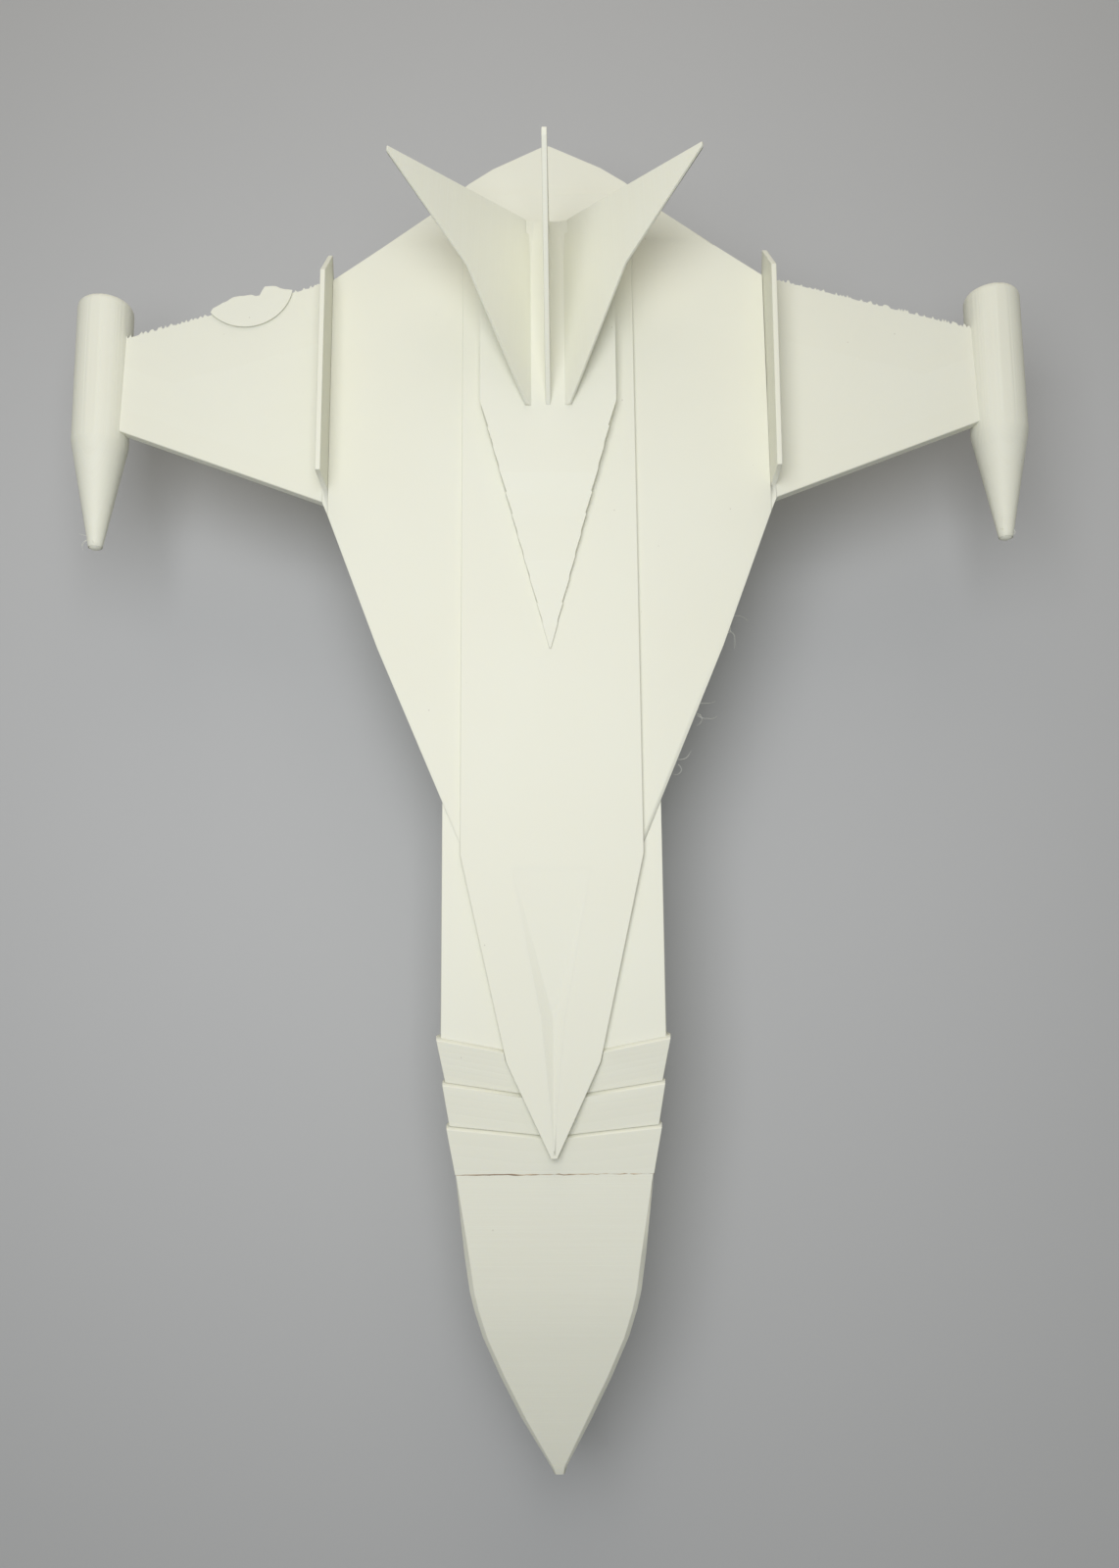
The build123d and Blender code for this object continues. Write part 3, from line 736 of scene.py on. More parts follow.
@dataclass
class Deck:
    """The dorsal deck and the dished canopy panel let into it."""

    edge: float = 0.16
    swell: float = 0.06
    pocket_half_width: float = 8.2
    pocket_margin: float = 1.0

    def build(self, finishes: FinishSet) -> None:
        """Builds the deck with broken outer edges and the canopy filling its pocket.

        Args:
            finishes: the model's finishes.
        """
        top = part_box("dorsal_deck")[1].z
        deck = copy_of("dorsal_deck")
        soften(deck, self.edge, lambda e: middle_of(e).z > top - 0.01 * MM and self.outer(e))
        settle(deck, "dorsal_deck_plate", finishes["deck"], ("dorsal_deck",))
        canopy = copy_of("canopy")
        low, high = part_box("canopy")
        middle_y = (low.y + high.y) / 2
        for vert in canopy.verts:
            if min(abs(vert.co.z - low.z), abs(vert.co.z - high.z)) < MERGE_DISTANCE:
                vert.co.x += math.copysign(self.swell * MM, vert.co.x)
                if vert.co.y > middle_y:
                    vert.co.y += self.swell * MM
        settle(canopy, "canopy_panel", finishes["deck"], ("canopy",))

    def outer(self, edge: BMEdge) -> bool:
        """Whether an edge belongs to the deck's outline and not to the canopy's pocket.

        Args:
            edge: the edge in question.

        Returns:
            True for an edge whose wall faces away from the middle or straight aft.
        """
        middle = middle_of(edge)
        walls = [face for face in edge.link_faces if abs(face.normal.z) < 0.5]
        turned_out = any(wall.normal.x * middle.x > 0.0 or abs(wall.normal.x) < 0.01 for wall in walls)
        beside_pocket = abs(middle.x) > self.pocket_half_width * MM
        behind_pocket = abs(middle.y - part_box("canopy")[1].y) > self.pocket_margin * MM
        return turned_out and (beside_pocket or behind_pocket)


@dataclass
class ArrowFairing:
    """The arrow-shaped fairing, whose shallow slope prints as low soft steps with notched sides."""

    slope: float = 2.4
    front_height: float = 0.4
    side_length: float = 40.3
    point_half_width: float = 0.2
    step: float = 0.2
    notch: float = 0.26
    jog: float = 0.14
    crispness: float = 1.30

    def build(self, finishes: FinishSet) -> None:
        """Cuts the outline into strips, raises it and shapes the steps and notches.

        Args:
            finishes: the model's finishes.
        """
        low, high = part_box("arrow_fairing")
        side_y = high.y - self.side_length * MM
        half_outline = [(self.point_half_width * MM, low.y), (high.x, side_y), (high.x, high.y)]
        outline = half_outline + [(-across, along) for across, along in reversed(half_outline)]
        body = new_mesh()
        corners = [body.verts.new((across, along, low.z)) for across, along in outline]
        bmesh.ops.contextual_create(body, geom=corners)
        run = self.step / math.tan(math.radians(self.slope)) * MM
        count = int((high.y - low.y) / run)
        for front in (low.y + run * (index + 1) for index in range(count)):
            for cut in (front - self.jog * MM, front, front + run / 4, front + run / 2, front + run * 3 / 4):
                geometry = body.verts[:] + body.edges[:] + body.faces[:]
                bmesh.ops.bisect_plane(body, geom=geometry, plane_co=(0, cut, 0), plane_no=(0, 1, 0))
        top = raised(body, body.faces[:], self.front_height * MM, keep_base=True)
        for vert in {vert for face in top for vert in face.verts}:
            steps = (vert.co.y - low.y) / run
            vert.co.z = low.z + (self.front_height + self.step * soft_step(steps, self.crispness)) * MM
            if vert.co.y < side_y:
                depth = self.notch * MM * (1.0 - steps % 1.0)
                vert.co.x -= math.copysign(min(depth, abs(vert.co.x) / 3), vert.co.x)
        settle(body, "arrow_fairing_steps", finishes["deck"], ("arrow_fairing",), recalculate=True)


@dataclass
class Fins:
    """The upright centre fin and the two fins that lean outwards, with the fillets at their roots."""

    edge: float = 0.20
    thin_edge: float = 0.10
    knife: float = 0.62
    root_x: float = 4.4
    cant: float = 49.1
    slope: float = 2.4
    foot_setback: float = 3.0
    foot_height: float = 2.9
    fillet_in: float = 2.3
    fillet_up: float = 3.2
    fillet_lead: float = 0.2
    fillet_hollow: float = 1.15
    fillet_front: tuple[float, float, float] = (0.3, 1.0, 0.10)
    sink: float = 0.20
    front_sink: float = 0.35
    cuts: int = 6
    rim_height: float = 4.5
    edge_height: float = 3.0

    def build(self, finishes: FinishSet) -> None:
        """Builds the three blades and the two fillets.

        Args:
            finishes: the model's finishes.
        """
        blade = copy_of("centre_fin")
        soften(blade, self.edge)
        settle(blade, "centre_fin_blade", finishes["fin"], ("centre_fin",))
        for side in Side:
            node = f"v_fin_{side.word}"
            low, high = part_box(node)
            blade = copy_of(node)
            self.lengthen_foot(blade, low)
            under = max((f for f in blade.faces if f.normal.z < -0.5), key=lambda face: face.calc_area())
            rim_z = low.z + self.rim_height * MM
            rim = [e for e in under.edges if middle_of(e).z > rim_z and e.calc_face_angle(0.0) > 1.0]
            bmesh.ops.bevel(
                blade, geom=rim, offset=self.knife * MM, affect="EDGES", segments=1, profile=0.5, material=-1
            )
            edge_z = low.z + self.edge_height * MM
            soften(blade, self.thin_edge, lambda e, edge_z=edge_z: middle_of(e).z > edge_z)
            settle(blade, f"{node}_blade", finishes["fin"], (node,))
            self.fillet(side, low.y - self.fillet_lead * MM, high.y, finishes)

    def lengthen_foot(self, blade: BMesh, low: Vector) -> None:
        """Carries a leaning fin's foot forward to its front edge, so that no notch is left.

        Args:
            blade: the fin's mesh.
            low: the lowest corner of the fin's box.
        """
        setback = self.foot_setback * MM
        fall = setback * math.tan(math.radians(self.slope))
        for vert in blade.verts:
            behind = vert.co.y - low.y - setback
            if abs(behind) < 0.15 * MM and vert.co.z < low.z + self.foot_height * MM:
                vert.co.y -= setback
                vert.co.z -= fall
        bmesh.ops.remove_doubles(blade, verts=blade.verts, dist=0.04 * MM)

    def fillet(self, side: Side, front: float, rear: float, finishes: FinishSet) -> None:
        """Fills the inner corner between a leaning fin and the fairing.

        Args:
            side: the fin's side.
            front: where the fillet runs out.
            rear: where it ends full size.
            finishes: the model's finishes.
        """
        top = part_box("arrow_fairing")[1].z - self.sink * MM
        lean = math.radians(self.cant)
        root = Vector((side.value * self.root_x * MM, rear, top))
        inward = Vector((-side.value, 0.0, 0.0)) * self.fillet_in * MM
        upward = Vector((side.value * math.sin(lean), 0.0, math.cos(lean))) * self.fillet_up * MM
        wedge = new_mesh()
        corners = [wedge.verts.new(root + shift) for shift in (Vector(), inward, upward)]
        hollow = wedge.edges.new(corners[1:])
        bmesh.ops.contextual_create(wedge, geom=corners)
        bmesh.ops.subdivide_edges(wedge, edges=[hollow], cuts=self.cuts)
        for vert in wedge.verts:
            share = (vert.co - root - inward).length / (upward - inward).length
            if share < 0.99 and vert.co != root:
                vert.co = vert.co.lerp(root, self.fillet_hollow * share * (1.0 - share))
        grown = bmesh.ops.extrude_face_region(wedge, geom=wedge.faces[:])["geom"]
        ahead = [part for part in grown if isinstance(part, BMVert)]
        fall = (rear - front) * math.tan(math.radians(self.slope)) + self.front_sink * MM
        bmesh.ops.translate(wedge, verts=ahead, vec=(0.0, front - rear, -fall))
        pivot = Matrix.Translation(-(root + Vector((0.0, front - rear, -fall))))
        bmesh.ops.scale(wedge, vec=self.fillet_front, space=pivot, verts=ahead)
        settle(wedge, f"v_fin_{side.word}_root_fillet", finishes["fin"], recalculate=True)


@dataclass
class WingCentre:
    """The wing's centre section, in two skins, and the tail plate."""

    leading_strip: float = 0.85
    leading_drop: float = 0.14
    trailing_strip: float = 0.34
    trailing_drop: float = 0.10
    shortest_rim: float = 5.0
    edge: float = 0.10
    joint_edge: float = 0.32
    joint_margin: float = 0.3
    joint_shortest: float = 5.0
    hull_clearance: float = 18.6

    def build(self, finishes: FinishSet) -> None:
        """Builds the skins and the tail plate.

        Args:
            finishes: the model's finishes.
        """
        upper = copy_of("wing_centre_upper")
        self.sink_rim(upper, -1, self.leading_strip, self.leading_drop)
        self.sink_rim(upper, 1, self.trailing_strip, self.trailing_drop)
        settle(upper, "wing_centre_upper_skin", finishes["wing"], ("wing_centre_upper",))
        lower = copy_of("wing_centre_lower")
        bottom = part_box("wing_centre_lower")[0].z
        soften(lower, self.edge, lambda e: middle_of(e).z < bottom + 0.01 * MM)
        settle(lower, "wing_centre_lower_skin", finishes["wing"], ("wing_centre_lower",))
        plate = copy_of("tail_plate")
        soften(plate, self.edge, lambda e: middle_of(e).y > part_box("wing_centre_upper")[1].y + 0.1 * MM)
        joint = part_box("dorsal_deck")[1].y
        crest = max((vert.co.z for vert in plate.verts if abs(vert.co.y - joint) < 0.5 * MM), default=0.0)
        soften(plate, self.joint_edge, lambda e: self.at_joint(e, joint, crest))
        settle(plate, "tail_plate_wedge", finishes["wing"], ("tail_plate",))

    def sink_rim(self, skin: BMesh, heading: int, strip: float, drop: float) -> None:
        """Slopes a strip of the top face down to its rim, where the print's last strokes sank.

        Args:
            skin: the upper skin.
            heading: -1 for the leading edges and 1 for the trailing ones.
            strip: the strip's width in millimetres.
            drop: how far the rim sinks, in millimetres.
        """
        rim = [edge for edge in skin.edges if self.on_rim(edge, heading)]
        sloped = bmesh.ops.bevel(
            skin, geom=rim, offset=strip * MM, affect="EDGES", segments=1, profile=0.5, material=-1
        )["faces"]
        skin.normal_update()
        corners = {vert for face in sloped for vert in face.verts}
        sunk = [vert for vert in corners if not any(self.looks_up(face) for face in vert.link_faces)]
        bmesh.ops.translate(skin, verts=sunk, vec=(0, 0, (strip - drop) * MM))

    def on_rim(self, edge: BMEdge, heading: int) -> bool:
        """Whether an edge joins the top face to an outer wall that faces forward or aft.

        Args:
            edge: the edge in question.
            heading: -1 for walls that face forward and 1 for those that face aft.

        Returns:
            True for a rim edge of that heading.
        """
        if not edge.is_manifold or edge.calc_length() < self.shortest_rim * MM:
            return False
        top = [face for face in edge.link_faces if self.looks_up(face)]
        walls = [face for face in edge.link_faces if abs(face.normal.z) < 0.01]
        beside_hull = abs(middle_of(edge).x) > self.hull_clearance * MM
        return bool(top and walls) and walls[0].normal.y * heading > 0.2 and beside_hull

    @staticmethod
    def looks_up(face: BMFace) -> bool:
        """Whether a face is part of the top."""
        return face.normal.z > 0.99

    def at_joint(self, edge: BMEdge, joint: float, crest: float) -> bool:
        """Whether an edge is the tail plate's upper edge where it meets the deck.

        Args:
            edge: the edge in question.
            joint: the joint's station.
            crest: the plate's height there.

        Returns:
            True for a long edge at the joint's top.
        """
        middle = middle_of(edge)
        margin = self.joint_margin * MM
        at_crest = abs(middle.y - joint) < margin and abs(middle.z - crest) < margin
        return at_crest and edge.calc_length() > self.joint_shortest * MM


@dataclass
class WingPanel:
    """One outer wing panel, in two skins, with a ragged trailing edge."""

    side: Side
    edge: float = 0.22
    seam_edge: float = 0.10
    teeth: int = 150
    bite: float = 0.08
    spike: float = 0.70
    spike_share: float = 0.34
    spike_least: float = 0.35
    facing_aft: float = 0.8
    spanwise: float = 10.0
    front_depth: float = 12.0

    def build(self, finishes: FinishSet) -> None:
        """Builds both skins with the same teeth.

        Args:
            finishes: the model's finishes.
        """
        draw = random.Random(SEED + self.side.value)
        reaches = [self.reach(draw) for _ in range(self.teeth)]
        for skin_name in ("upper", "lower"):
            node = f"wing_panel_{self.side.word}_{skin_name}"
            skin = copy_of(node)
            self.rag_edge(skin, reaches)
            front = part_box(node)[0].y
            outer_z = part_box(node)[1].z if skin_name == "upper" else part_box(node)[0].z
            seam_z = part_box(node)[0].z if skin_name == "upper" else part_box(node)[1].z
            soften(skin, self.edge, lambda e: self.leading(e, front, outer_z))
            soften(skin, self.seam_edge, lambda e: self.leading(e, front, seam_z))
            settle(skin, f"{node}_skin", finishes["panel"], (node,))

    def reach(self, draw: random.Random) -> float:
        """Draws how far one tooth stands out.

        Args:
            draw: the source of random numbers.

        Returns:
            The reach in metres, below zero where the edge is bitten in.
        """
        if draw.random() < self.spike_share:
            return draw.uniform(self.spike_least, 1.0) * self.spike * MM
        return draw.uniform(-1.0, 1.0) * self.bite * MM

    def rag_edge(self, skin: BMesh, reaches: list[float]) -> None:
        """Cuts the trailing edge into short lengths and moves their ends.

        Args:
            skin: the skin to work on.
            reaches: how far each tooth stands out, from root to tip.
        """
        walls = [face for face in skin.faces if face.normal.y > self.facing_aft]
        wall = max(walls, key=lambda face: face.calc_area())
        long_edges = [e for e in wall.edges if self.runs_spanwise(e)]
        bmesh.ops.subdivide_edges(skin, edges=long_edges, cuts=self.teeth)
        faces = [f for f in skin.faces if f.normal.y > self.facing_aft]
        low = min(abs(v.co.x) for f in faces for v in f.verts)
        high = max(abs(v.co.x) for f in faces for v in f.verts)
        for vert in {v for f in faces for v in f.verts}:
            share = (abs(vert.co.x) - low) / (high - low)
            index = round(share * (self.teeth + 1)) - 1
            if 0 <= index < self.teeth:
                vert.co.y += reaches[index]

    def runs_spanwise(self, edge: BMEdge) -> bool:
        """Whether an edge is one of the long ones along the span."""
        return abs(edge.verts[0].co.x - edge.verts[1].co.x) > self.spanwise * MM

    def leading(self, edge: BMEdge, front: float, height: float) -> bool:
        """Whether an edge bounds the panel's front face at a height.

        Args:
            edge: the edge in question.
            front: the panel's foremost station.
            height: the height at which the edge should lie.

        Returns:
            True for the long front edge at that height.
        """
        middle = middle_of(edge)
        at_height = abs(middle.z - height) < HEIGHT_MARGIN
        return self.runs_spanwise(edge) and at_height and middle.y < front + self.front_depth * MM


@dataclass
class Fences:
    """The two fences between the wing's centre section and its panels."""

    edge: float = 0.18
    edge_depth: float = 7.5
    rear_lean: float = 0.7

    def build(self, finishes: FinishSet) -> None:
        """Builds both fences. The right one leans outwards at its rear.

        Args:
            finishes: the model's finishes.
        """
        for side in Side:
            node = f"fence_{side.word}"
            low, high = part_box(node)
            plate = copy_of(node)
            edge_z = high.z - self.edge_depth * MM
            soften(plate, self.edge, lambda e, edge_z=edge_z: middle_of(e).z > edge_z)
            if side is Side.RIGHT:
                wing_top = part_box("wing_centre_upper")[1].z
                for vert in plate.verts:
                    rise = max(0.0, vert.co.z - wing_top) / (high.z - wing_top)
                    aft = max(0.0, (vert.co.y - low.y) / (high.y - low.y))
                    vert.co.x += self.rear_lean * MM * rise * aft**2
            settle(plate, f"{node}_plate", finishes["wing"], (node,))


@dataclass
class Pod:
    """One wing-tip pod: a barrel and the cone plugged into its front, with printed steps on top."""

    side: Side
    toe: float = 0.7
    steps_round: int = 192
    cone_cuts: int = 44
    barrel_cuts: int = 6
    rear_round: float = 2.0
    tip_round: float = 1.0
    tip_radius: float = 1.35
    layer: float = 0.2
    crispness: float = 2.4
    cone_lip: float = 3.3

    def build(self, finishes: FinishSet) -> None:
        """Turns the barrel and the cone.

        Args:
            finishes: the model's finishes.
        """
        barrel_low, barrel_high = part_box(f"pod_barrel_{self.side.word}")
        cone_low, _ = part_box(f"pod_cone_{self.side.word}")
        radius = (barrel_high.z - barrel_low.z) / 2
        centre = (barrel_low + barrel_high) / 2
        front, rear, tip = barrel_low.y, barrel_high.y, cone_low.y
        shoulder = front + self.cone_lip * MM
        tip_radius = self.tip_radius * MM
        joint_radius = radius - (radius - tip_radius) * self.cone_lip * MM / (shoulder - tip)
        barrel = self.turned(
            [(front, 0.0), (front, joint_radius), (shoulder, radius), (rear, radius), (rear, 0.0)],
            (1, self.barrel_cuts, 2, 0),
            centre,
        )
        self.round_rim(barrel, rear, self.rear_round)
        self.step_top(barrel, centre.z)
        self.lean(barrel, centre)
        node = f"pod_barrel_{self.side.word}"
        settle(barrel, f"{node}_turned", finishes["pod"], (node,), weighted=False)
        cone = self.turned(
            [(tip, 0.0), (tip, tip_radius), (front, joint_radius), (front, 0.0)],
            (0, self.cone_cuts, 0),
            centre,
        )
        self.round_rim(cone, tip, self.tip_round)
        self.step_top(cone, centre.z)
        self.lean(cone, centre)
        node = f"pod_cone_{self.side.word}"
        settle(cone, f"{node}_turned", finishes["pod"], (node,), weighted=False)

    def turned(self, profile: list[tuple[float, float]], cuts: tuple[int, ...], centre: Vector) -> BMesh:
        """Spins a profile about the pod's axis.

        Args:
            profile: stations and radii, from front to rear.
            cuts: how many cuts each run of the profile gets.
            centre: a point on the axis.

        Returns:
            The closed solid.
        """
        solid = new_mesh()
        corners = [solid.verts.new((centre.x, along, centre.z + out)) for along, out in profile]
        runs = [solid.edges.new(pair) for pair in zip(corners, corners[1:])]
        for run, count in zip(runs, cuts):
            if count:
                bmesh.ops.subdivide_edges(solid, edges=[run], cuts=count)
        bmesh.ops.spin(
            solid,
            geom=solid.verts[:] + solid.edges[:],
            cent=centre,
            axis=(0, 1, 0),
            angle=math.tau,
            steps=self.steps_round,
            use_merge=True,
        )
        bmesh.ops.remove_doubles(solid, verts=solid.verts, dist=MERGE_DISTANCE)
        bmesh.ops.recalc_face_normals(solid, faces=solid.faces)
        return solid

    @staticmethod
    def round_rim(solid: BMesh, station: float, width: float) -> None:
        """Rounds the rim of an end face.

        Args:
            solid: the turned solid.
            station: where the end face is.
            width: how far the rounding reaches, in millimetres.
        """
        rim = [
            edge
            for edge in solid.edges
            if all(abs(vert.co.y - station) < MERGE_DISTANCE for vert in edge.verts)
            and edge.calc_face_angle(0.0) > SHARP_ANGLE
        ]
        bmesh.ops.bevel(
            solid, geom=rim, offset=width * MM, affect="EDGES", segments=6, profile=0.5, material=-1
        )

    def step_top(self, solid: BMesh, axis_z: float) -> None:
        """Gives the upper half the soft steps of its layers.

        Args:
            solid: the turned solid.
            axis_z: the height of its axis.
        """
        layer = self.layer * MM
        for vert in solid.verts:
            count = (vert.co.z - axis_z) / layer
            if count > 1.0:
                vert.co.z = axis_z + layer * soft_step(count, self.crispness)

    def lean(self, solid: BMesh, centre: Vector) -> None:
        """Turns the pod's front inwards by its toe angle.

        Args:
            solid: the turned solid.
            centre: the point that it turns about.
        """
        turn = Matrix.Rotation(math.radians(-self.side.value * self.toe), 4, "Z")
        bmesh.ops.transform(
            solid, matrix=Matrix.Translation(centre) @ turn @ Matrix.Translation(-centre), verts=solid.verts
        )


@dataclass
class BrimEar:
    """What is left of an anti-warp disc, snipped raggedly behind the left panel."""

    radius: float = 10.3
    sides: int = 96
    thickness: float = 0.3
    edge: float = 0.12
    sweep: float = 16.1
    centre_aft: float = 5.0
    back_lift: float = 0.02
    raggedness: float = 0.12
    tip_cuts: int = 22
    overhangs: tuple[float, ...] = (0.9, 1.4, 1.9, 2.4, 2.3, 2.0, 1.1, 3.1, 2.6, 1.2, 0.4)

    def build(self, finishes: FinishSet) -> None:
        """Cuts the disc along a ragged line and lays it on the panel.

        Args:
            finishes: the model's finishes.
        """
        low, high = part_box("brim_ear")
        panel_low, panel_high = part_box("wing_panel_left_upper")
        sweep = math.radians(self.sweep)
        centre_x = (low.x + high.x) / 2
        edge_y = panel_high.y - (panel_high.x - centre_x) * math.tan(sweep)
        disc = new_mesh()
        bmesh.ops.create_circle(disc, cap_ends=True, segments=self.sides, radius=self.radius * MM)
        bmesh.ops.translate(disc, verts=disc.verts, vec=(0, self.centre_aft * MM, 0))
        turn = Matrix.Rotation(sweep, 4, "Z")
        base_cut = min(self.overhangs) * MM
        normal = turn @ Vector((0, 1, 0))
        bmesh.ops.bisect_plane(
            disc,
            geom=disc.verts[:] + disc.edges[:] + disc.faces[:],
            plane_co=normal * base_cut,
            plane_no=normal,
            clear_outer=True,
        )
        cut = [e for e in disc.edges if abs(middle_of(e).dot(normal) - base_cut) < MERGE_DISTANCE]
        length = sum(e.calc_length() for e in cut)
        bmesh.ops.subdivide_edges(disc, edges=cut, cuts=self.tip_cuts)
        along = turn @ Vector((1, 0, 0))
        draw = random.Random(SEED)
        on_cut = [v for v in disc.verts if abs(v.co.dot(normal) - base_cut) < MERGE_DISTANCE]
        start = min(v.co.dot(along) for v in on_cut)
        for vert in sorted(on_cut, key=lambda v: v.co.dot(along))[1:-1]:
            share = (vert.co.dot(along) - start) / length * (len(self.overhangs) - 1)
            index = min(int(share), len(self.overhangs) - 2)
            part = share - index
            wanted = self.overhangs[index] * (1 - part) + self.overhangs[index + 1] * part
            stray = draw.uniform(-self.raggedness, self.raggedness)
            vert.co += normal * ((wanted * MM - base_cut) + stray * MM)
        raised(disc, disc.faces[:], self.thickness * MM, keep_base=True)
        fall = low.z + self.back_lift * MM - panel_high.z
        tilt = math.atan2(fall, edge_y - panel_low.y) * 0.5
        lay = Matrix.Translation((centre_x, edge_y, high.z - self.thickness * MM))
        bmesh.ops.transform(disc, matrix=lay @ Matrix.Rotation(tilt, 4, "X"), verts=disc.verts)
        soften(disc, self.edge, lambda e: middle_of(e).z > low.z)
        settle(disc, "brim_ear_offcut", finishes["panel"], ("brim_ear",), recalculate=True)


@dataclass
class Wisps:
    """Fine strands of plastic that the nozzle drew out."""

    radius: float = 0.045
    taper: float = 0.6
    sides: int = 5
    joints: int = 12
    tip_strands: int = 9
    strake_run: float = 64.0
    edge_tufts: tuple[tuple[float, int], ...] = ((0.62, 4), (0.33, 4), (0.16, 2))

    def build(self, finishes: FinishSet) -> None:
        """Draws the strands at the pod tips and on the right strake's edge.

        Args:
            finishes: the model's finishes.
        """
        draw = random.Random(SEED + 5)
        for side in Side:
            low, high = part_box(f"pod_cone_{side.word}")
            centre = Vector(((low.x + high.x) / 2, low.y + 1.6 * MM, (low.z + high.z) / 2 + 0.6 * MM))
            strands = new_mesh()
            for _ in range(self.tip_strands):
                outward = Vector((draw.uniform(-1, 1), draw.uniform(-0.5, 0.4), draw.uniform(-0.2, 0.5)))
                start = centre + Vector((outward.x * 1.1 * MM, draw.uniform(0, 2.5) * MM, 0.4 * MM))
                self.strand(strands, start, outward.normalized(), draw.uniform(1.2, 3.0), draw)
            settle(strands, f"pod_tip_wisps_{side.word}", finishes["wisp"], recalculate=True, weighted=False)
        self.edge_wisps(finishes, draw)

    def edge_wisps(self, finishes: FinishSet, draw: random.Random) -> None:
        """Draws the strands along the right strake's edge.

        Args:
            finishes: the model's finishes.
            draw: the source of random numbers.
        """
        upper_low, upper_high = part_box("wing_centre_upper")
        hull_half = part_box("hull_upper")[1].x
        fence_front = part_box("fence_right")[0].y
        strake_front = fence_front - self.strake_run * MM
        strands = new_mesh()
        for share, count in self.edge_tufts:
            across = hull_half + (upper_high.x - hull_half) * share
            along = strake_front + self.strake_run * MM * share
            for _ in range(count):
                start = Vector((across - 0.2 * MM, along + draw.uniform(-2, 2) * MM, upper_low.z - 0.3 * MM))
                outward = Vector((1.0, draw.uniform(-0.7, 0.3), draw.uniform(-0.3, 0.2))).normalized()
                self.strand(strands, start, outward, draw.uniform(3.0, 6.0), draw)
        settle(strands, "strake_wisps_right", finishes["wisp"], recalculate=True, weighted=False)

    def strand(self, mesh: BMesh, start: Vector, heading: Vector, length: float, draw: random.Random) -> None:
        """Draws one curling strand.

        Args:
            mesh: the mesh to add to.
            start: where it leaves the plastic.
            heading: its first direction.
            length: its length in millimetres.
            draw: the source of random numbers.
        """
        stride = length * MM / self.joints
        curl = draw.uniform(-0.45, 0.45)
        sag = draw.uniform(-0.08, 0.04)
        points = [start.copy()]
        for _ in range(self.joints):
            heading = (Matrix.Rotation(curl + draw.gauss(0, 0.12), 3, "Z") @ heading).normalized()
            heading = (heading + Vector((0, 0, sag))).normalized()
            points.append(points[-1] + heading * stride)
        radii = [self.radius * MM * (1.0 - self.taper * index / self.joints) for index in range(len(points))]
        tube(mesh, points, radii, self.sides)


@dataclass
class HiddenJoints:
    """The pegs, dowels, joiners and bulkhead inside the glued joints."""

    nodes: tuple[str, ...] = (
        "nose_bulkhead",
        "nose_dowel_left",
        "nose_dowel_right",
        "wing_joiner_left",
        "wing_joiner_right",
        "wing_peg_front",
        "wing_peg_rear",
    )

    def build(self, finishes: FinishSet) -> None:
        """Gives the hidden pieces their finish.

        Args:
            finishes: the model's finishes.
        """
        for name in self.nodes:
            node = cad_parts[name]
            for slot in node.material_slots:
                slot.material = finishes["joining"]
            log.info("%s: %d material slots", name, len(node.material_slots))


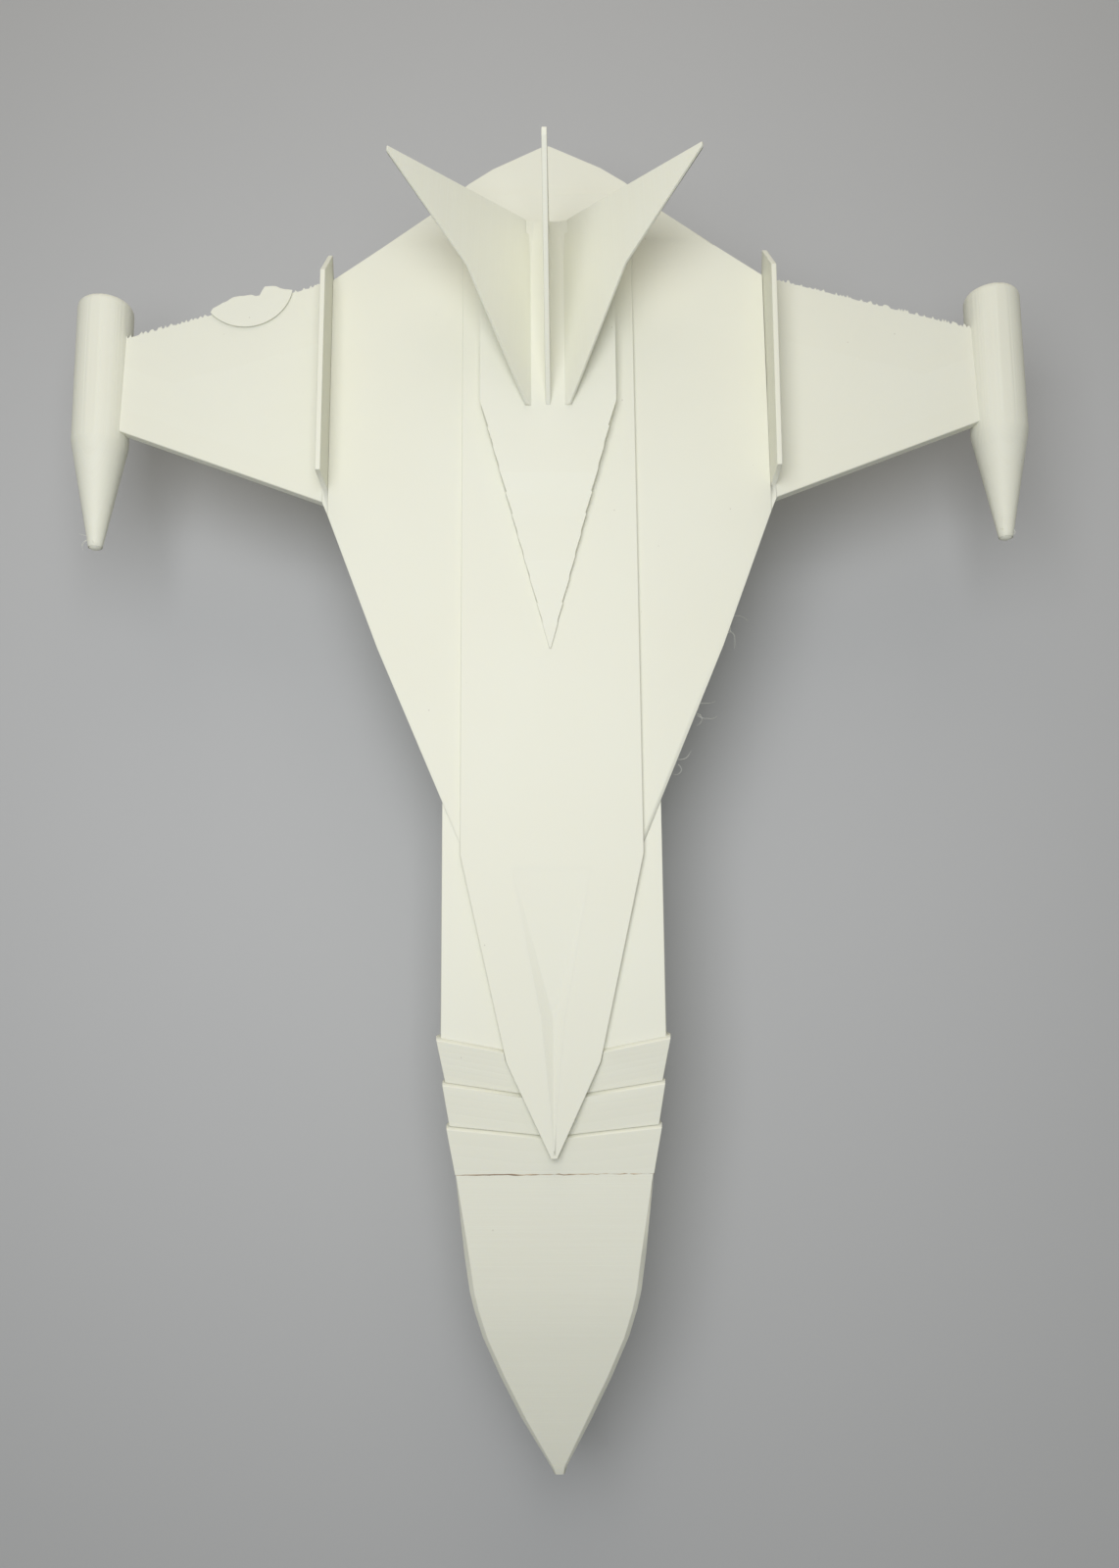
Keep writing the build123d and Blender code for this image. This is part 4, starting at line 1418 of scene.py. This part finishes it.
@dataclass
class Studio:
    """Pale table, soft lights and the camera above the model."""

    floor_size: float = 3.0
    floor_colour: Colour = (0.50, 0.505, 0.51, 1.0)
    world_colour: Colour = (0.985, 1.0, 0.965, 1.0)
    world_strength: float = 0.28
    light_target: tuple[float, float, float] = (0.0, 0.02, 0.03)
    camera_place: tuple[float, float, float] = (2.85, -43.361, 263.0)
    camera_tilt: float = 9.24
    camera_turn: float = 1.86
    camera_roll: float = -2.402
    camera_lens: float = 25.99

    def build(self) -> None:
        """Builds the table, the lights, the world and the camera."""
        self.table()
        self.softbox("overhead_softbox", (-0.035, 0.02, 0.31), 0.21, 0.62, (0.965, 0.975, 1.0))
        self.softbox("tail_softbox", (0.0, 0.60, 0.35), 0.50, 1.0, (1.0, 0.90, 0.78))
        self.world()
        self.camera()

    def table(self) -> None:
        """Lays a plain pale table under the model."""
        mesh = new_mesh()
        place = Matrix.Translation((0, 0, -0.05 * MM))
        bmesh.ops.create_grid(mesh, x_segments=1, y_segments=1, size=self.floor_size / 2, matrix=place)
        data = bpy.data.meshes.new("table_top")
        mesh.to_mesh(data)
        mesh.free()
        made = bpy.data.materials.new("pale_table")
        made.use_nodes = True
        board = NodeBoard(made.node_tree)
        shader = made.node_tree.nodes["Principled BSDF"]
        shader.inputs["Base Color"].default_value = self.floor_colour
        grain = board.noise(board.add("ShaderNodeTexCoord").outputs["Object"], 40.0, 3.0)
        board.feed(shader.inputs["Roughness"], board.math("MULTIPLY_ADD", grain, 0.1, 0.75))
        data.materials.append(made)
        floor = bpy.data.objects.new("table_top", data)
        bpy.context.scene.collection.objects.link(floor)

    def softbox(
        self,
        name: str,
        place: tuple[float, float, float],
        size: float,
        power: float,
        tint: tuple[float, float, float],
    ) -> None:
        """Hangs a square soft light and points it at the model.

        Args:
            name: the light's name.
            place: where it hangs, in metres.
            size: its side in metres.
            power: its power in watts.
            tint: its colour.
        """
        light = bpy.data.lights.new(name, "AREA")
        light.shape = "SQUARE"
        light.size = size
        light.energy = power
        light.color = tint
        hung = bpy.data.objects.new(name, light)
        hung.location = place
        aim = Vector(self.light_target) - Vector(place)
        hung.rotation_euler = aim.to_track_quat("-Z", "Y").to_euler()
        hung.visible_camera = False
        bpy.context.scene.collection.objects.link(hung)

    def world(self) -> None:
        """Fills the room with even light."""
        world = bpy.data.worlds.new("studio_room")
        world.use_nodes = True
        background = world.node_tree.nodes["Background"]
        background.inputs["Color"].default_value = self.world_colour
        background.inputs["Strength"].default_value = self.world_strength
        bpy.context.scene.world = world

    def camera(self) -> None:
        """Sets the camera above the model, looking down and a little towards the tail."""
        tilt, turn, roll = (math.radians(a) for a in (self.camera_tilt, self.camera_turn, self.camera_roll))
        across = Vector((math.cos(turn), math.sin(turn), 0.0))
        along = Vector((-math.sin(turn), math.cos(turn), 0.0))
        up = Vector((0.0, 0.0, 1.0))
        view = math.sin(tilt) * along - math.cos(tilt) * up
        head = math.cos(tilt) * along + math.sin(tilt) * up
        right = math.cos(roll) * across + math.sin(roll) * head
        crown = -math.sin(roll) * across + math.cos(roll) * head
        lens = bpy.data.cameras.new("camera")
        lens.sensor_fit = "VERTICAL"
        lens.sensor_width = 36.0
        lens.sensor_height = 36.0
        lens.lens = self.camera_lens
        lens.clip_start = 0.01
        lens.clip_end = 20.0
        holder = bpy.data.objects.new("camera", lens)
        turned = Matrix((right, crown, -view)).transposed().to_4x4()
        holder.matrix_world = Matrix.Translation(Vector(self.camera_place) * MM) @ turned
        bpy.context.scene.collection.objects.link(holder)
        bpy.context.scene.camera = holder
        bpy.context.scene.view_settings.view_transform = "Standard"


def main() -> None:
    """Builds the whole model and its studio."""
    logging.basicConfig(level=logging.INFO, format="%(name)s: %(message)s")
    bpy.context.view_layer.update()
    finishes = FinishSet().make()
    for assembly in (
        Hull(),
        Nose(),
        NoseJoint(),
        GillBands(),
        Deck(),
        ArrowFairing(),
        Fins(),
        WingCentre(),
        WingPanel(Side.LEFT),
        WingPanel(Side.RIGHT),
        Fences(),
        Pod(Side.LEFT),
        Pod(Side.RIGHT),
        BrimEar(),
        Wisps(),
        HiddenJoints(),
    ):
        assembly.build(finishes)
    Studio().build()


if __name__ == "__main__":
    main()
